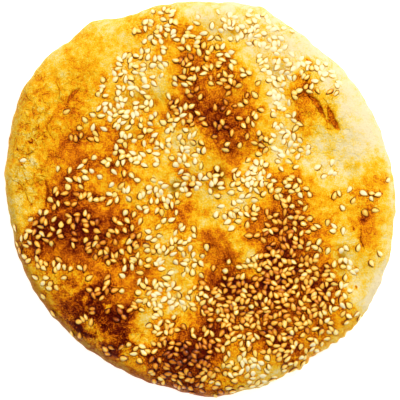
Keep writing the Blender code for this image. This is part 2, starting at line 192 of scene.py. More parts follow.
# ---- browning --------------------------------------------------------------------
# Shares of browning run from 0, pale as dough, to 1, scorched.
# Patches: middle x, y, half-length, half-width (mm), turn (degrees), share. Each is laid
# over those before it.
BROWNED_GROUND = 0.30           # share before any patch
BROWNED = (
    (37.5, 57.5, 52.5, 20, -38, 0.08),
    (68, 27, 31.5, 16, -62, 0.065),
    (52.5, 16.5, 15, 10, 0, 0.14),
    (0, 4, 29.5, 15, 10, 0.29),
    (-12, -36, 11, 25, 0, 0.28),
    (-21, 48, 21, 19, 0, 0.27),
    (-15, 25, 23, 15, 0, 0.3),
    (-55.5, 37.5, 17.5, 31.5, -15, 0.40),
    (-73, 25, 8.5, 22, -8, 0.40),
    (72, -27.5, 12, 19, 0, 0.19),
    (-33.5, 75.5, 19, 5, 15, 0.22),
    (14.5, -74, 17, 6, 8, 0.42),
    (0, 48, 15, 26, 12, 0.55),
    (-4.5, 65, 10, 10, 0, 0.48),
    (19, 34, 12.5, 16, 0, 0.6),
    (3, 38.5, 9, 6, -10, 0.82),
    (8.5, 30.5, 7.5, 6.5, 0, 0.86),
    (13.5, 22, 5, 9, 0, 0.82),
    (1, 52, 8.5, 9, 0, 0.63),
    (20, 23, 5, 5, 0, 0.6),
    (26, 35.5, 5, 5, 0, 0.58),
    (13.5, 51, 6, 9, 0, 0.56),
    (-53, 36.5, 6.5, 15, -8, 0.54),
    (-50.5, 23, 6.5, 7, 0, 0.57),
    (-59, 18.5, 8.5, 4, 20, 0.62),
    (-63, 29, 4, 4, 0, 0.5),
    (-36.5, 18.5, 7.5, 7.5, 0, 0.62),
    (-21, 28, 5, 4, 0, 0.5),
    (-30.5, 10, 7.5, 6, 0, 0.57),
    (-45.5, 69, 8.5, 8.5, 0, 0.44),
    (-50.5, -15, 23, 15, 8, 0.80),
    (-53, -14, 14, 9.5, 0, 0.85),
    (-64, -16.5, 7.5, 6.5, 0, 0.76),
    (-56.5, 2, 7.5, 9, 0, 0.78),
    (-39, -6.5, 11, 8.5, 0, 0.77),
    (-31.5, -15, 7.5, 5.5, 0, 0.7),
    (-40.5, -19, 6.5, 4, 0, 0.66),
    (-69, -19, 4.5, 4.5, 0, 0.74),
    (-40, -32, 13.5, 7.5, 5, 0.66),
    (-24.5, -30, 6, 5, 0, 0.62),
    (-44, 3, 6.5, 5, 0, 0.62),
    (-42, -50, 19, 13.5, -25, 0.72),
    (-52.5, -44, 8.5, 6.5, 0, 0.82),
    (-40, -44.5, 7.5, 6, 0, 0.92),
    (-34, -51, 7, 9, 0, 0.9),
    (-36, -63.5, 6.5, 5, -20, 0.88),
    (-48.5, -51.5, 6, 4.5, 0, 0.78),
    (-45, -57.5, 5, 3.5, -20, 0.55),
    (-39, -36, 6, 6.5, 0, 0.7),
    (-5, -63, 17.5, 10.5, 0, 0.86),
    (-3, -62, 10, 6, -5, 0.98),
    (4, -64.5, 6.5, 4, 0, 0.92),
    (-17, -66, 6.5, 6, 0, 0.8),
    (-12, -73.5, 8.5, 4, -15, 0.74),
    (-2, -79.5, 6, 3.5, 0, 0.86),
    (3, -54, 10, 6, 0, 0.74),
    (9, -59, 7.5, 6, 0, 0.84),
    (35.5, -11, 15, 21, 0, 0.66),
    (27, -42.5, 31.5, 17.5, 20, 0.68),
    (35.5, -22, 5, 6, 0, 0.84),
    (21, -11, 6, 6, 0, 0.62),
    (9, -24.5, 5, 9, 0, 0.74),
    (6.5, -34, 7.5, 4, 0, 0.84),
    (19, -37, 8.5, 4, 0, 0.8),
    (31.5, -36, 8.5, 6, 0, 0.66),
    (52.5, -39, 7.5, 6, 0, 0.74),
    (47, -50, 6.5, 6.5, 0, 0.66),
    (29.5, -57, 12.5, 6, 0, 0.74),
    (37.5, -67.5, 7.5, 5, 0, 0.7),
    (56.5, -46.5, 6.5, 6.5, 0, 0.48),
    (61, -57, 6, 5, 40, 0.52),
    (19.5, -24.5, 4, 6.5, 0, 0.4),
    (69, -9.5, 6, 13.5, 0, 0.62),
    (71.5, 6, 6, 11, 0, 0.5),
    (58.5, -2.5, 9, 6, 0, 0.42),
    (49.5, 37.5, 12, 7, -50, 0.47),
    (42.5, 45, 5, 6.5, 0, 0.6),
    (44, 27, 4, 4, 0, 0.52),
    (45, 56, 3.5, 3.5, 0, 0.42),
    (-7, -6, 5, 6.5, 0, 0.64),
    (-10, 14.5, 4, 4, 0, 0.48),
    (2.5, -16.5, 4, 5, 0, 0.5),
    (23, -69.5, 12, 6, 0, 0.3),
    (-52.5, 14.5, 6, 6.5, 0, 0.68),
    (-8.5, 24, 6, 6.5, 0, 0.18),
    (-61, 63.5, 4.5, 4, 0, 0.18),
    (25, 25, 4, 7, 0, 0.45),
    (7, 10, 3, 2.2, 0, 0.62),
    (42.5, 42.5, 4, 6, 0, 0.54),
    (37.5, 9, 6.5, 4.5, 0, 0.55),
    (46, -11, 4.5, 6, 0, 0.54),
    (25, -15, 5, 6, 0, 0.62),
    (63, -32, 4, 6, 0, 0.2),
    (65, -40, 5, 7, 20, 0.14),
    (-46, -34, 9, 4.5, 0, 0.68),
    (26, -75, 9, 3.5, 10, 0.18),
    (-23, -74, 5, 3, -20, 0.55),
    (54.5, -19, 4, 6, 0, 0.42),
    (2, 76, 11, 4, -5, 0.12),
    (32, 23, 5.5, 9, -10, 0.15),
    (18.5, -1.5, 8, 5, 35, 0.2),
    (-77, -3, 5.5, 16, 0, 0.29),
    (-76, -27, 4, 9, 0, 0.3),
    (-16, 51, 5, 10, -30, 0.2),
    (40, 41, 4, 7, 20, 0.56),
    (62, -20, 5, 7, 0, 0.22),
    (42, -56, 6, 5, 0, 0.55),
    (-31.5, -30, 7, 5, 0, 0.6),
    (-36, 72, 9, 4.5, 15, 0.2),
    (-63, 60, 6, 4.5, 40, 0.24),
    (23, 65, 9, 8, -35, 0.18),
    (30.5, 42, 4.5, 9, -20, 0.06),
    (-3.5, 22.5, 4, 6, 0, 0.25),
    (21, 9, 7, 5, -30, 0.2),
    (-33.5, 2, 5, 4, 0, 0.4),
    (-66.5, 29, 4, 5, 0, 0.3),
    (-75.5, -20, 3, 7, 10, 0.36),
    (12.5, -30, 4, 5, 0, 0.7),
    (-8, -14, 4, 5, 0, 0.36),
    (50, -30, 5, 4, 0, 0.62),
    (10, -78, 7, 3, 10, 0.5),
    (23, -43, 6, 4, 0, 0.6),
    (17, -61, 5, 4, 0, 0.5),
    (-34, -71, 5, 2.5, -30, 0.42),
    (-70.5, 16.5, 3, 3, 0, 0.3),
    (-68.5, 10, 3, 2, 0, 0.3),
    (-75.3, 2.5, 4.4, 4.4, 0, 0.28),
    (-75.5, 4, 2.3, 1.8, 0, 0.4),
    (-67, 30, 5, 2, 45, 0.28),
    (-50, -54.5, 6, 1.6, -38, 0.92),
    (-45, -41, 2.4, 2.4, 0, 0.88),
    (-32.8, -50.7, 2.6, 2.4, 0, 1.0),
    (28, -30, 5.5, 5, 0, 0.86),
    (34, -24, 7, 5.5, 0, 0.80),
    (29.5, -36, 5, 4, 0, 0.9),
    (-4, 34.5, 4, 4.5, 0, 0.76),
    (8, 9.5, 4.5, 3.5, 0, 0.66),
    (-40.5, 14, 5, 4.5, 0, 0.64),
    (-6.5, -10, 5, 4.5, 0, 0.62),
    (2, -4.5, 3, 3, 0, 0.55),
    (-36, -23.5, 5.5, 4, 0, 0.72),
    (-14.5, 10.5, 4.5, 4, 0, 0.46),
    (-12.5, 37.5, 4, 5, 0, 0.55),
    (-10, 55, 4, 5.5, 0, 0.48),
    (38, -61.5, 5.5, 3.5, 0, 0.70),
    (6.5, 21, 4.5, 4, 0, 0.64),
    (11, -79.5, 6, 2.5, 8, 0.6),
    (-19, -33.5, 4.5, 5, 0, 0.54),
    (13, -66, 4.5, 4, 0, 0.4),
    (-20.5, -58, 5, 4, 0, 0.38),
    (-27.5, -46, 3, 4, 0, 0.6),
    (19.5, -59, 5, 4, 0, 0.48),
    (20, -69.5, 6, 3, 0, 0.2),
    (-71.5, -19, 4, 4.5, 0, 0.58),
    (-80, 4, 3, 11, 0, 0.30),
    (42, -28, 4, 4.5, 0, 0.54),
    (-18, -4, 4, 4, 0, 0.44),
    (-44, -38, 5, 4, 0, 0.8),
    (-9.5, -44.5, 5, 4, 0, 0.12),
    (41.5, 33, 4, 4, 0, 0.52),
    (-79, -15, 3, 9, 15, 0.16),
    (44, -52.5, 5, 4.5, 0, 0.5),
    (-68, 48, 5, 5, 0, 0.47),
    (-39, -1.5, 4, 4, 0, 0.56),
    (-33, -51.5, 4, 4.5, 0, 0.95),
    (-21.5, -50, 4.5, 4.5, 0, 0.24),
    (-44.5, -38, 5, 4.5, 0, 0.86),
    (-61.4, 6.4, 4, 3.5, 0, 0.5),
    (47.5, -9.5, 3.5, 4, 0, 0.46),
    (59.5, -52, 4.5, 5, 40, 0.38),
    (-9.5, -56, 5, 3, 0, 0.58),
    (41.5, -65.5, 5, 3, 20, 0.5),
    (2.6, -17, 4.5, 4.5, 0, 0.72),
    (-62.7, 27, 4, 4.5, 0, 0.54),
    (-22.4, 25.7, 4, 4, 0, 0.5),
    (67.5, -12, 5, 8, 0, 0.64),
    (62.5, -7.5, 4, 4, 0, 0.46),
    (-50, 65, 5, 5, 0, 0.42),
    (-19.4, 40, 4, 5, 0, 0.42),
    (-54.3, 19, 4, 4, 0, 0.7),
    (-38, 25, 5.5, 5.5, 0, 0.62),
    (8, -22, 5, 6, 0, 0.7),
    (-46, 62.5, 8, 7, -30, 0.43),
    (-67.3, 46, 5, 5, 0, 0.5),
    (-45.5, -37, 6, 4, 0, 0.9),
    (7.5, -38, 3.5, 3, 0, 0.82),
    (-48, -8, 4, 4, 0, 0.86),
    (40, -10.5, 4, 4, 0, 0.72),
    (48, -41, 4, 4, 0, 0.78),
    (-6.8, -59, 4, 2.5, 0, 0.8),
    (-27, 71, 6.5, 6, 30, 0.4),
    (7, 70.5, 6.5, 4.5, 0, 0.2),
    (73.5, 6, 5, 8, 0, 0.46),
    (13.5, -74.5, 6, 4, 10, 0.49),
    (62.9, 12.3, 2.6, 2.2, 0, 0.27),
    (31, 55, 7, 6, -30, 0.2),
    (-29, 0.5, 4, 4, 0, 0.34),
    (23.5, -7, 4, 3.5, 0, 0.6),
    (54, 20, 11, 9, 0, 0.21),
    (44, -33, 3.5, 3, 0, 0.74),
    (36.5, -30, 3.5, 3.5, 0, 0.76),
    (-7, -58.5, 4, 4, 0, 0.88),
    (-17, -4.5, 4, 4.5, 0, 0.5),
    (-53.5, 45, 3, 3.5, 0, 0.4),
    (33, -25, 5, 4, 0, 0.76),
    (-30, -16, 5, 4.5, 0, 0.74),
    (8, -18, 3.5, 4, 0, 0.56),
    (-4.5, 38.5, 4, 5, 0, 0.74),
    (54.5, -2, 4, 4, 0, 0.48),
    (50.5, -17, 3.5, 4, 0, 0.56),
    (52, 31.5, 4, 3.5, 0, 0.42),
    (-26, 17, 5, 5, 0, 0.42),
    (38, -46.5, 4.5, 4, 0, 0.62),
    (10, -40.5, 4, 3.5, 0, 0.6),
    (5, 57.5, 3.5, 4, 0, 0.46),
    (-10, -22, 4, 4, 0, 0.42),
    (-49.5, 65.5, 6, 5, 0, 0.41),
    (63, 12.5, 3.5, 3, 0, 0.34),
    (13, 70, 4, 3, 0, 0.2),
    (13, -36, 4.5, 4, 0, 0.84),
    (2.5, -47.5, 4.5, 4, 0, 0.7),
    (46, -44.5, 4, 3.5, 0, 0.52),
    (-10.5, -52, 4, 5, 0, 0.42),
    (15.5, -51, 4, 4, 0, 0.54),
)
# Islands of thinner skin, laid over the patches, with the same measures.
ISLANDS = (
    (-48, -32.5, 6, 3.4, 0, 0.56),
    (-51.5, -38, 4.5, 1.3, 30, 0.5),
    (-60.5, -39.5, 2.2, 2, 0, 0.54),
    (-47.3, -42.5, 1.3, 4.6, 8, 0.56),
    (-38.2, -44.3, 1.6, 1.5, 0, 0.46),
    (-33.2, -41.5, 1.8, 1.8, 0, 0.6),
    (-45.5, -52.6, 6, 2.6, -35, 0.5),
    (-41, -58, 5, 1.7, 8, 0.5),
    (-30.8, -64, 2.4, 5.4, -12, 0.42),
    (-34.3, -67.5, 1.4, 1.4, 0, 0.5),
    (-27, -57, 2.6, 2.4, 0, 0.34),
    (20.3, -23.7, 4, 2.6, 20, 0.27),
    (23.8, -31, 3.6, 2, 0, 0.42),
    (-31.5, -17.5, 2, 1.6, 0, 0.45),
    (-43, -22.5, 4, 2, 10, 0.56),
    (-70.7, 23.6, 1.1, 1.0, 0, 0.8),
    (-9.4, 5.2, 2, 1.7, 0, 0.36),
    (-4, 5.4, 2.4, 1.3, 20, 0.72),
    (7.8, 10.6, 2.4, 2.2, 0, 0.46),
    (5.9, 5.8, 1.8, 1.6, 0, 0.3),
    (68, -8, 2.2, 1.8, 0, 0.8),
    (65, -37.3, 0.5, 0.5, 0, 1.0),
    (62.9, -12.1, 0.45, 0.45, 0, 1.0),
)
# Places where an olive cast is painted in as shade: hollows, dark gaps between seeds and
# the lower left rim. The same measures, the last a strength.
PAINTED_OLIVE_SHADE = (
    (7.8, 10.5, 3.2, 2.8, 0, 1.4),
    (6, 5.5, 2.8, 2.4, 0, 1.3),
    (-9.5, 5.2, 3, 2.6, 0, 1.4),
    (32, 53.5, 4.5, 4.5, 0, 0.5),
    (13, 70, 4, 3, 0, 0.5),
    (6, 71, 8, 5, 0, 0.25),
    (26, 60.5, 5, 5, 0, 0.14),
    (62.9, 12.3, 3, 2.6, 0, 0.15),
    (-9.5, 38, 3.5, 4, 0, 0.25),
    (2, 8, 13, 9, 0, 0.13),
    (-13, -32, 9, 14, 0, 0.1),
    (-26, 41.5, 13, 4.5, 5, 0.4),
    (-31, 29, 4, 6, 0, 0.35),
    (61, -21.5, 5, 8.5, 0, 0.1),
    (58.5, -25, 3, 5.5, 0, 0.8),
    (33.5, 27, 5, 6, 0, 0.15),
    (-25.5, -42.5, 4, 12.5, 0, 0.15),
    (-59, -42.5, 25, 4, -50, 0.28),
)

BROWNED_EDGE = 2.4          # sharpness of a patch's edge
ISLAND_EDGE = 7.0           # the same of an island's
OLIVE_EDGE = 2.4            # the same of an olive place's

# Smooth noise that makes those edges wander: length, how far it carries (mm), seed, layers.
WIDE_DRIFT = (11.0, 3.2, 11, 3)
NARROW_DRIFT = (3.2, 1.2, 31, 3)
ISLAND_DRIFT = (3.4, 1.7, 32, 2)
OLIVE_DRIFT = (6.0, 1.4, 71, 3)

COARSE_MOTTLE = (7.0, 0.08)     # length (mm) and strength of the coarse mottling
FINE_MOTTLE = (3.2, 0.04)       # the same of the fine mottling, on pale skin
FINE_MOTTLE_BROWNED = 0.08      # what a middling brown adds to its strength
FINE_MOTTLE_FLAKED = 0.02       # what flaking takes off its strength

SEEDED_CONTRAST = (0.24, 0.045)     # thick seed adds this share of the browning, less this; the deepening is painted shade between seeds
EDGE_STARTS = 0.965             # from this share of the reach outward the skin is
EDGE_BROWNEST = 0.38            # no browner than this
RIM_STARTS = 0.945              # RIM_SHADES start at this share of the reach
EDGE_BLEND = 0.02               # both come in over this share of the reach

BELOW_TAN = 0.40                # share of browning of the underside
BELOW_RINGS = (16.0, 0.09, 0.20)    # length, width and strength of its blister rings
BELOW_MOTTLE = (9.0, 0.12)      # length (mm) and strength of its mottling
SIDE_TAN = 3.0                  # the tan of the underside fades out up to this height

ROUGHENED = (0.15, 0.7, 1.2)    # how rough flaked, blistered and thickly seeded skin is
GRAININESS = (0.35, 0.2, 0.45)  # how grainy all skin is, more where brown, more where rough
HOLLOW_FROM = 0.5               # fine relief (mm) under which the crust counts as hollow, and is painted darker as shade
HOLLOW_TEAR = 0.35              # share of a tear's depth that counts as hollow, for that painted shade

# Stretches of the edge: direction, half-width (degrees), share of browning, olive cast.
# The olive cast, and the darkening on the left and lower left, are painted shade of the
# side turned from the light.
RIM_SHADES = (
    (222, 46, 0.46, 0.62),
    (262, 17, 0.66, 0.4),
    (289, 9, 0.19, 0.0),
    (309, 16, 0.37, 0.0),
    (160, 14, 0.38, 0.22),
    (181, 9, 0.3, 0.32),
    (333, 9, 0.06, 0.0),
)

# ---- sesame ----------------------------------------------------------------------
SEED_LENGTH = 3.5           # of the whole drop, whose ends are hidden in the collar
SEED_WIDTH = 2.2
SEED_THICKNESS = 1.1
SEED_RINGS = 7              # sections along a seed
SEED_CROWDED = 18.0         # seeds to the square centimetre where no more would fit
SEED_DRAWS = 200            # seeds drawn for each square centimetre, most of them dropped
SEED_RISE = 0.35            # middle of a seed above the crust
SEED_TOUCH = 0.52           # seeds may press this close, as a share of touching
SEED_FULLEST = 0.97         # most seed that is asked for, as a share of crowded
SEED_REACH = 0.985          # seeds lie within this share of the reach
COLLAR = 0.18               # width of the dark rim that grips a seed, painted shade where it meets the crust

SEED_SPREAD = (0.10, 0.78, 1.25)    # spread of each size as a share, least and greatest
SEED_LEAN = 12.0            # spread of the lean each way (degrees)
SEED_RISE_SPREAD = 0.09     # spread of the middle's height
SEED_SLOPE = (0.9, 1.6)     # half-width over which the slope is read, steepest slope
PALE_SINK = (0.34, 0.45, 0.35)  # seeds lie this much deeper in pale skin, from this share of
                            # browning down, fully so when it is lower by this

# Section of a seed in its collar, in half-widths and half-thicknesses, from one side over
# the top to the other and back below; how much of each point is collar, painted dark as the
# shade where the seed meets the crust, and crown, painted pale as light on its top.
SEED_SECTION = (
    (1.0, -0.55, 1.0, 0.0),
    (1.0, -0.10, 0.8, 0.0),
    (0.78, 0.72, 0.0, 0.05),
    (0.0, 1.0, 0.0, 1.0),
    (-0.78, 0.72, 0.0, 0.05),
    (-1.0, -0.10, 0.8, 0.0),
    (-1.0, -0.55, 1.0, 0.0),
    (0.0, -1.0, 1.0, 0.0),
)

COVER_CELL = 0.7            # cell in which seeds are counted
COVER_BLUR = 1.5            # width of the bell that blurs the counts
COVER_FULL = 0.12           # seeds to the square millimetre that count as full cover

# Handfuls of seed: middle x, y, half-length, half-width (mm), turn (degrees), and seeds to
# the square centimetre.
HANDFULS = (
    (-16.5, 71, 7.5, 10, 0, 12.5),
    (-25.5, 54.5, 12, 8.5, 20, 11.5),
    (-31.5, 48, 10, 6.5, 0, 10),
    (-5, 51, 7.5, 9, 0, 10.5),
    (-10, 37.5, 6, 5.5, 0, 10.5),
    (0, 65, 12.5, 8.5, 0, 8),
    (10.5, 52, 12, 12.5, 0, 7.5),
    (14.5, 33.5, 12.5, 16, 0, 6),
    (1, 31, 8.5, 4.5, 0, 8.5),
    (-31.5, 35.5, 14.5, 9, 0, 11),
    (-27.5, 20.5, 14.5, 10, 0, 10.5),
    (-45.5, 29, 8.5, 6.5, 0, 6),
    (-8.5, 25, 10, 12, 0, 10),
    (-46.5, 5, 14, 11, 0, 7),
    (-19, 2, 11, 7.5, 0, 10),
    (-4.5, 6, 6.5, 6, 0, 10.5),
    (6, 7, 6.5, 6.5, 0, 10),
    (21, 7, 9, 8.5, 30, 13),
    (35.5, 25, 6.5, 12, 0, 10.5),
    (16.5, -5.5, 9, 5.5, 20, 11),
    (3, -5.5, 6, 5, 0, 3.5),
    (-12.5, -6.5, 6.5, 10, 0, 7),
    (-52.5, -11, 15, 10.5, 0, 8),
    (-38, -19.5, 12.5, 9, 0, 8.5),
    (-68, -14, 9, 7.5, 0, 8),
    (-63, -32, 9, 9, 0, 8),
    (-70.5, -21.5, 6, 6, 0, 8),
    (-29.5, -9.5, 9, 6, 0, 6),
    (-21, -21.5, 8.5, 10, 0, 10.5),
    (-6.5, -21.5, 7.5, 13.5, 0, 9),
    (-2, -32, 6, 8.5, 0, 9.5),
    (-42, -30.5, 12.5, 5, 0, 4),
    (-39, -38, 6.5, 4.5, 0, 8.5),
    (-17, -41, 11.5, 10.5, 0, 11.5),
    (-15, -53, 9, 6.5, 0, 8.5),
    (-45.5, -50, 12.5, 9, 0, 3),
    (-33.5, -47.5, 5, 6, 0, 5),
    (-33.5, -61, 7.5, 6, 0, 4),
    (-25.5, -66, 4, 7, 0, 4.5),
    (-15, -65.5, 10, 8.5, 0, 10.5),
    (-3.5, -67.5, 13.5, 11, 0, 11.5),
    (-9.5, -76, 14.5, 5, -13, 10),
    (7, -78.5, 14, 4.5, 5, 9),
    (30, -42.5, 30, 19, 15, 16.5),
    (12.5, -43, 15, 11, 0, 16),
    (5, -59, 13.5, 8.5, 0, 12.5),
    (35.5, -15, 14.5, 15, 0, 12),
    (37.5, 4, 9, 9, 0, 7),
    (29.5, -28.5, 13.5, 8.5, 0, 14),
    (17.5, -63.5, 12, 6, 0, 8.5),
    (21, -70.5, 12.5, 6, 5, 13),
    (27, -75.5, 8, 3.5, 10, 10),
    (35.5, -64, 12, 7.5, 20, 10.5),
    (50.5, -56, 10, 7.5, 40, 8.5),
    (56.5, -42.5, 6.5, 12, 0, 7.5),
    (61, -23.5, 5, 10, 0, 8.5),
    (55.5, -14, 5, 5, 0, 5),
    (72, -24.5, 6.5, 4, 30, 3),
    (68, -0.5, 9, 6.5, 0, 1.8),
    (55.5, -2.5, 6, 5, 0, 3.2),
    (55.5, 13, 10, 4, 0, 3.2),
    (21, 71, 17.5, 7.5, 0, 12),
    (29.5, 57.5, 7, 12.5, 0, 12),
    (9, 73, 9, 5, 0, 7),
    (48, 50.5, 10.5, 8, -20, 10),
    (37.5, 44, 3.5, 7.5, 0, 6),
    (32, 41, 4.5, 7.5, -15, 12),
    (42, 24, 5, 6, 0, 5),
    (49.5, 41.5, 5, 5, 0, 1.5),
    (24, 20.5, 5, 8.5, 0, 7.5),
    (-59, -0.5, 6, 6, 0, 4),
    (60, -50, 9, 5, 50, 9),
    (43, -66, 10, 5, 30, 9),
)
HANDFUL_EDGE = 4.0          # sharpness of a handful's edge
SOWN_STRAY = 0.10           # seeds to the square centimetre on the bare edges
SOWN_CLUMPS = (5.0, 1.15, 0.8)      # length (mm), mean and swing of the clumps, as shares
SOWN_LIMITS = (0.3, 1.6)    # least and greatest share in a clump

# Places where the seeds themselves are toasted: as above, with a share of toasting.
TOASTED = (
    (35, -18, 19, 24, 0, 0.17),
    (28, -44, 32, 18, 15, 0.21),
    (-4, -65, 16, 13, 0, 0.36),
    (9, 36, 14, 19, 10, 0.27),
    (-38, -50, 14, 16, 0, 0.24),
    (-50, -16, 28, 20, 0, 0.13),
    (53, 42.5, 6, 4, -30, 0.38),
    (33, -21, 10, 10, 0, 0.27),
    (27, -31, 7, 6, 0, 0.26),
    (-40, -38, 10, 6, 0, 0.15),
    (-8, -77.5, 20, 5, -12, 0.3),
    (13, -75, 7, 5, 8, 0.12),
    (37, -31.5, 8, 5, -20, 0.26),
    (-6.5, 57, 5, 5, 0, 0.25),
    (-49, 2, 5, 4, 0, 0.2),
    (-28, -16, 6, 5, 0, 0.2),
    (-11, 39, 5, 5, 0, 0.2),
    (13, -36, 6, 5, 0, 0.32),
    (-53.5, -17.5, 7, 6, 0, 0.3),
    (2.5, -47.5, 6, 5, 0, 0.25),
    (-40, -22, 6, 5, 0, 0.26),
    (-52, 26, 4, 4, 0, 0.25),
)
TOAST_BROWNED = (0.46, 0.25)    # seeds take this share of the crust's browning above this
TOAST_SCORCHED = (0.6, 0.85)    # and this share more of what is above this
TOAST_PALE = (0.6, 0.2)         # and this share less of what is missing to this
TOAST_SPREAD = 0.09             # spread from seed to seed, times the crust's browning
TOAST_SPREAD_PALE = 0.4         # with this added
TOAST_LIMITS = (-0.2, 1.0)      # least and greatest toasting

# ---- grid of the crust -------------------------------------------------------------
GRID_TURN = 640             # steps round
GRID_BASE = 20              # rings on the flat base
GRID_UNDER = 8              # rings from there up to the widest place
GRID_EDGE = 22              # rings from there up to the shoulder
GRID_TOP = 104              # rings on the top
BASE_MIDDLE = 0.02          # share of the reach at which the base's first ring lies
TOP_MIDDLE = 0.008          # the same of the top's last ring

# ---- smooth noise ------------------------------------------------------------------
NOISE_TABLE = 256           # arrows each way, after which the noise repeats
NOISE_FADING = 0.55         # strength of each finer layer beside the one before
NOISE_GAIN = 1.9            # brings the noise to about -1 to 1


# ---- small tools -----------------------------------------------------------------
def gradient_table(seed):
    """Unit arrows in random directions, for smooth noise."""
    angle = np.random.default_rng(seed).uniform(0.0, 2.0 * np.pi, (NOISE_TABLE, NOISE_TABLE))
    return np.cos(angle), np.sin(angle)


def wander(x, y, cell, seed, layers=1):
    """Smooth noise about 0: each layer is half as wide and about half as strong.

    A layer has an arrow at every corner of a square net. Each corner gives how far the
    point lies along its arrow, and 6 t^5 - 15 t^4 + 10 t^3 blends the four corners.
    """
    total = np.zeros(np.shape(x))
    weight, sum_of_weights = 1.0, 0.0
    for layer in range(layers):
        arrow_x, arrow_y = gradient_table(seed + layer)
        across, along = x * 2 ** layer / cell, y * 2 ** layer / cell
        column, row = np.floor(across).astype(int), np.floor(along).astype(int)
        across, along = across - column, along - row

        def corner(right, up):
            """What the arrow at one corner of every point's square gives."""
            place = ((column + right) % NOISE_TABLE, (row + up) % NOISE_TABLE)
            return arrow_x[place] * (across - right) + arrow_y[place] * (along - up)

        blend_x = across ** 3 * (across * (across * 6.0 - 15.0) + 10.0)
        blend_y = along ** 3 * (along * (along * 6.0 - 15.0) + 10.0)
        low = corner(0, 0) * (1.0 - blend_x) + corner(1, 0) * blend_x
        high = corner(0, 1) * (1.0 - blend_x) + corner(1, 1) * blend_x
        total = total + weight * (low * (1.0 - blend_y) + high * blend_y)
        sum_of_weights += weight
        weight *= NOISE_FADING
    return NOISE_GAIN * total / sum_of_weights


def drift(x, y, length, carry, seed, layers):
    """How far smooth noise carries the point (x, y) aside, along x and along y."""
    return (carry * wander(x, y, length, seed, layers),
            carry * wander(x, y, length, seed + 10, layers))


def oval_patch(x, y, patch, sharpness):
    """1 at the middle of an oval, falling to 0.37 at its edge, more steeply if sharper.

    It is exp(-d ** sharpness), where d is the distance from the middle in half-sizes.
    """
    middle_x, middle_y, half_length, half_width, turn = patch[:5]
    cosine, sine = math.cos(math.radians(turn)), math.sin(math.radians(turn))
    along = ((x - middle_x) * cosine + (y - middle_y) * sine) / half_length
    across = ((y - middle_y) * cosine - (x - middle_x) * sine) / half_width
    return np.exp(-(along ** 2 + across ** 2) ** (0.5 * sharpness))


def fullest(x, y, patches, sharpness):
    """The greatest amount that any of the oval patches gives at (x, y)."""
    total = np.zeros(np.shape(x))
    for patch in patches:
        total = np.maximum(total, patch[5] * oval_patch(x, y, patch, sharpness))
    return total


def laid_over(share, x, y, patches, sharpness):
    """The share after every oval patch in turn has drawn it to its own, where it covers."""
    for patch in patches:
        share = share + (patch[5] - share) * oval_patch(x, y, patch, sharpness)
    return share


def stretch(angle, direction, half_width, sharpness):
    """1 in a direction, falling to 0.37 at half_width aside (degrees): exp(-d ** sharpness)."""
    turned = np.angle(np.exp(1j * (angle - math.radians(direction))))
    return np.exp(-(turned / math.radians(half_width)) ** sharpness)


def line_distance(x, y, start_x, start_y, end_x, end_y):
    """Distance from the straight piece between start and end, the share along it, and the
    signed distance to the side of its whole line."""
    run_x, run_y = end_x - start_x, end_y - start_y
    share = ((x - start_x) * run_x + (y - start_y) * run_y) / (run_x ** 2 + run_y ** 2)
    near = np.clip(share, 0.0, 1.0)
    side = ((y - start_y) * run_x - (x - start_x) * run_y) / math.hypot(run_x, run_y)
    return np.hypot(x - start_x - near * run_x, y - start_y - near * run_y), near, side


# ---- shape of the loaf -----------------------------------------------------------
def reach(angle):
    """Distance from the middle to the edge, as in the solid.

    A circle, a double wave that makes it oval, and a bell for each swell and dip.
    """
    extra, direction = OVAL
    total = REACH + extra * np.cos(2.0 * (angle - math.radians(direction)))
    for middle, half_width, outward in RIM_SWELLS:
        total = total + outward * stretch(angle, middle, half_width, 2)
    return total


def ripple(angle):
    """Fine unevenness of the edge: a few waves round it, with jags where it flaked.

    The jags are one wave made stronger and weaker by a second, and a third finer one.
    """
    total = np.zeros_like(angle)
    for number, (waves, outward) in enumerate(RIM_RIPPLE):
        total += outward * np.sin(waves * angle + 2.4 * number)
    middle, half_width, size = RIM_FLAKES
    first, second, third = RIM_JAGS
    jag = np.sin(first * angle) * np.sin(second * angle + 1.0) + 0.6 * np.sin(third * angle)
    return total + size * jag * stretch(angle, middle, half_width, 4)


def outline_shift():
    """How far the outline's box is off the turning axis, which the solid took out."""
    angle = np.linspace(-np.pi, np.pi, 2881)
    x, y = reach(angle) * np.cos(angle), reach(angle) * np.sin(angle)
    return 0.5 * (x.min() + x.max()), 0.5 * (y.min() + y.max())


SHIFT_X, SHIFT_Y = outline_shift()


def relief(x, y):
    """Rise of the top above its level, as in the solid: puffs, creases, slow waves.

    The puffs add up as ovals and the waves as sines. The deepest crease is taken off, as a
    bell across its line.
    """
    rise = np.zeros(np.shape(x))
    for puff in PUFFS:
        rise += puff[5] * oval_patch(x, y, puff, PUFF_EDGE)
    sink = np.zeros(np.shape(x))
    for start_x, start_y, end_x, end_y, half_width, depth in CREASES:
        off = line_distance(x, y, start_x, start_y, end_x, end_y)[0]
        sink = np.maximum(sink, depth * np.exp(-(off / half_width) ** 2))
    for length, direction, height in WAVES:
        along = x * math.cos(math.radians(direction)) + y * math.sin(math.radians(direction))
        rise += height * np.sin(2.0 * math.pi * along / length)
    return rise - sink


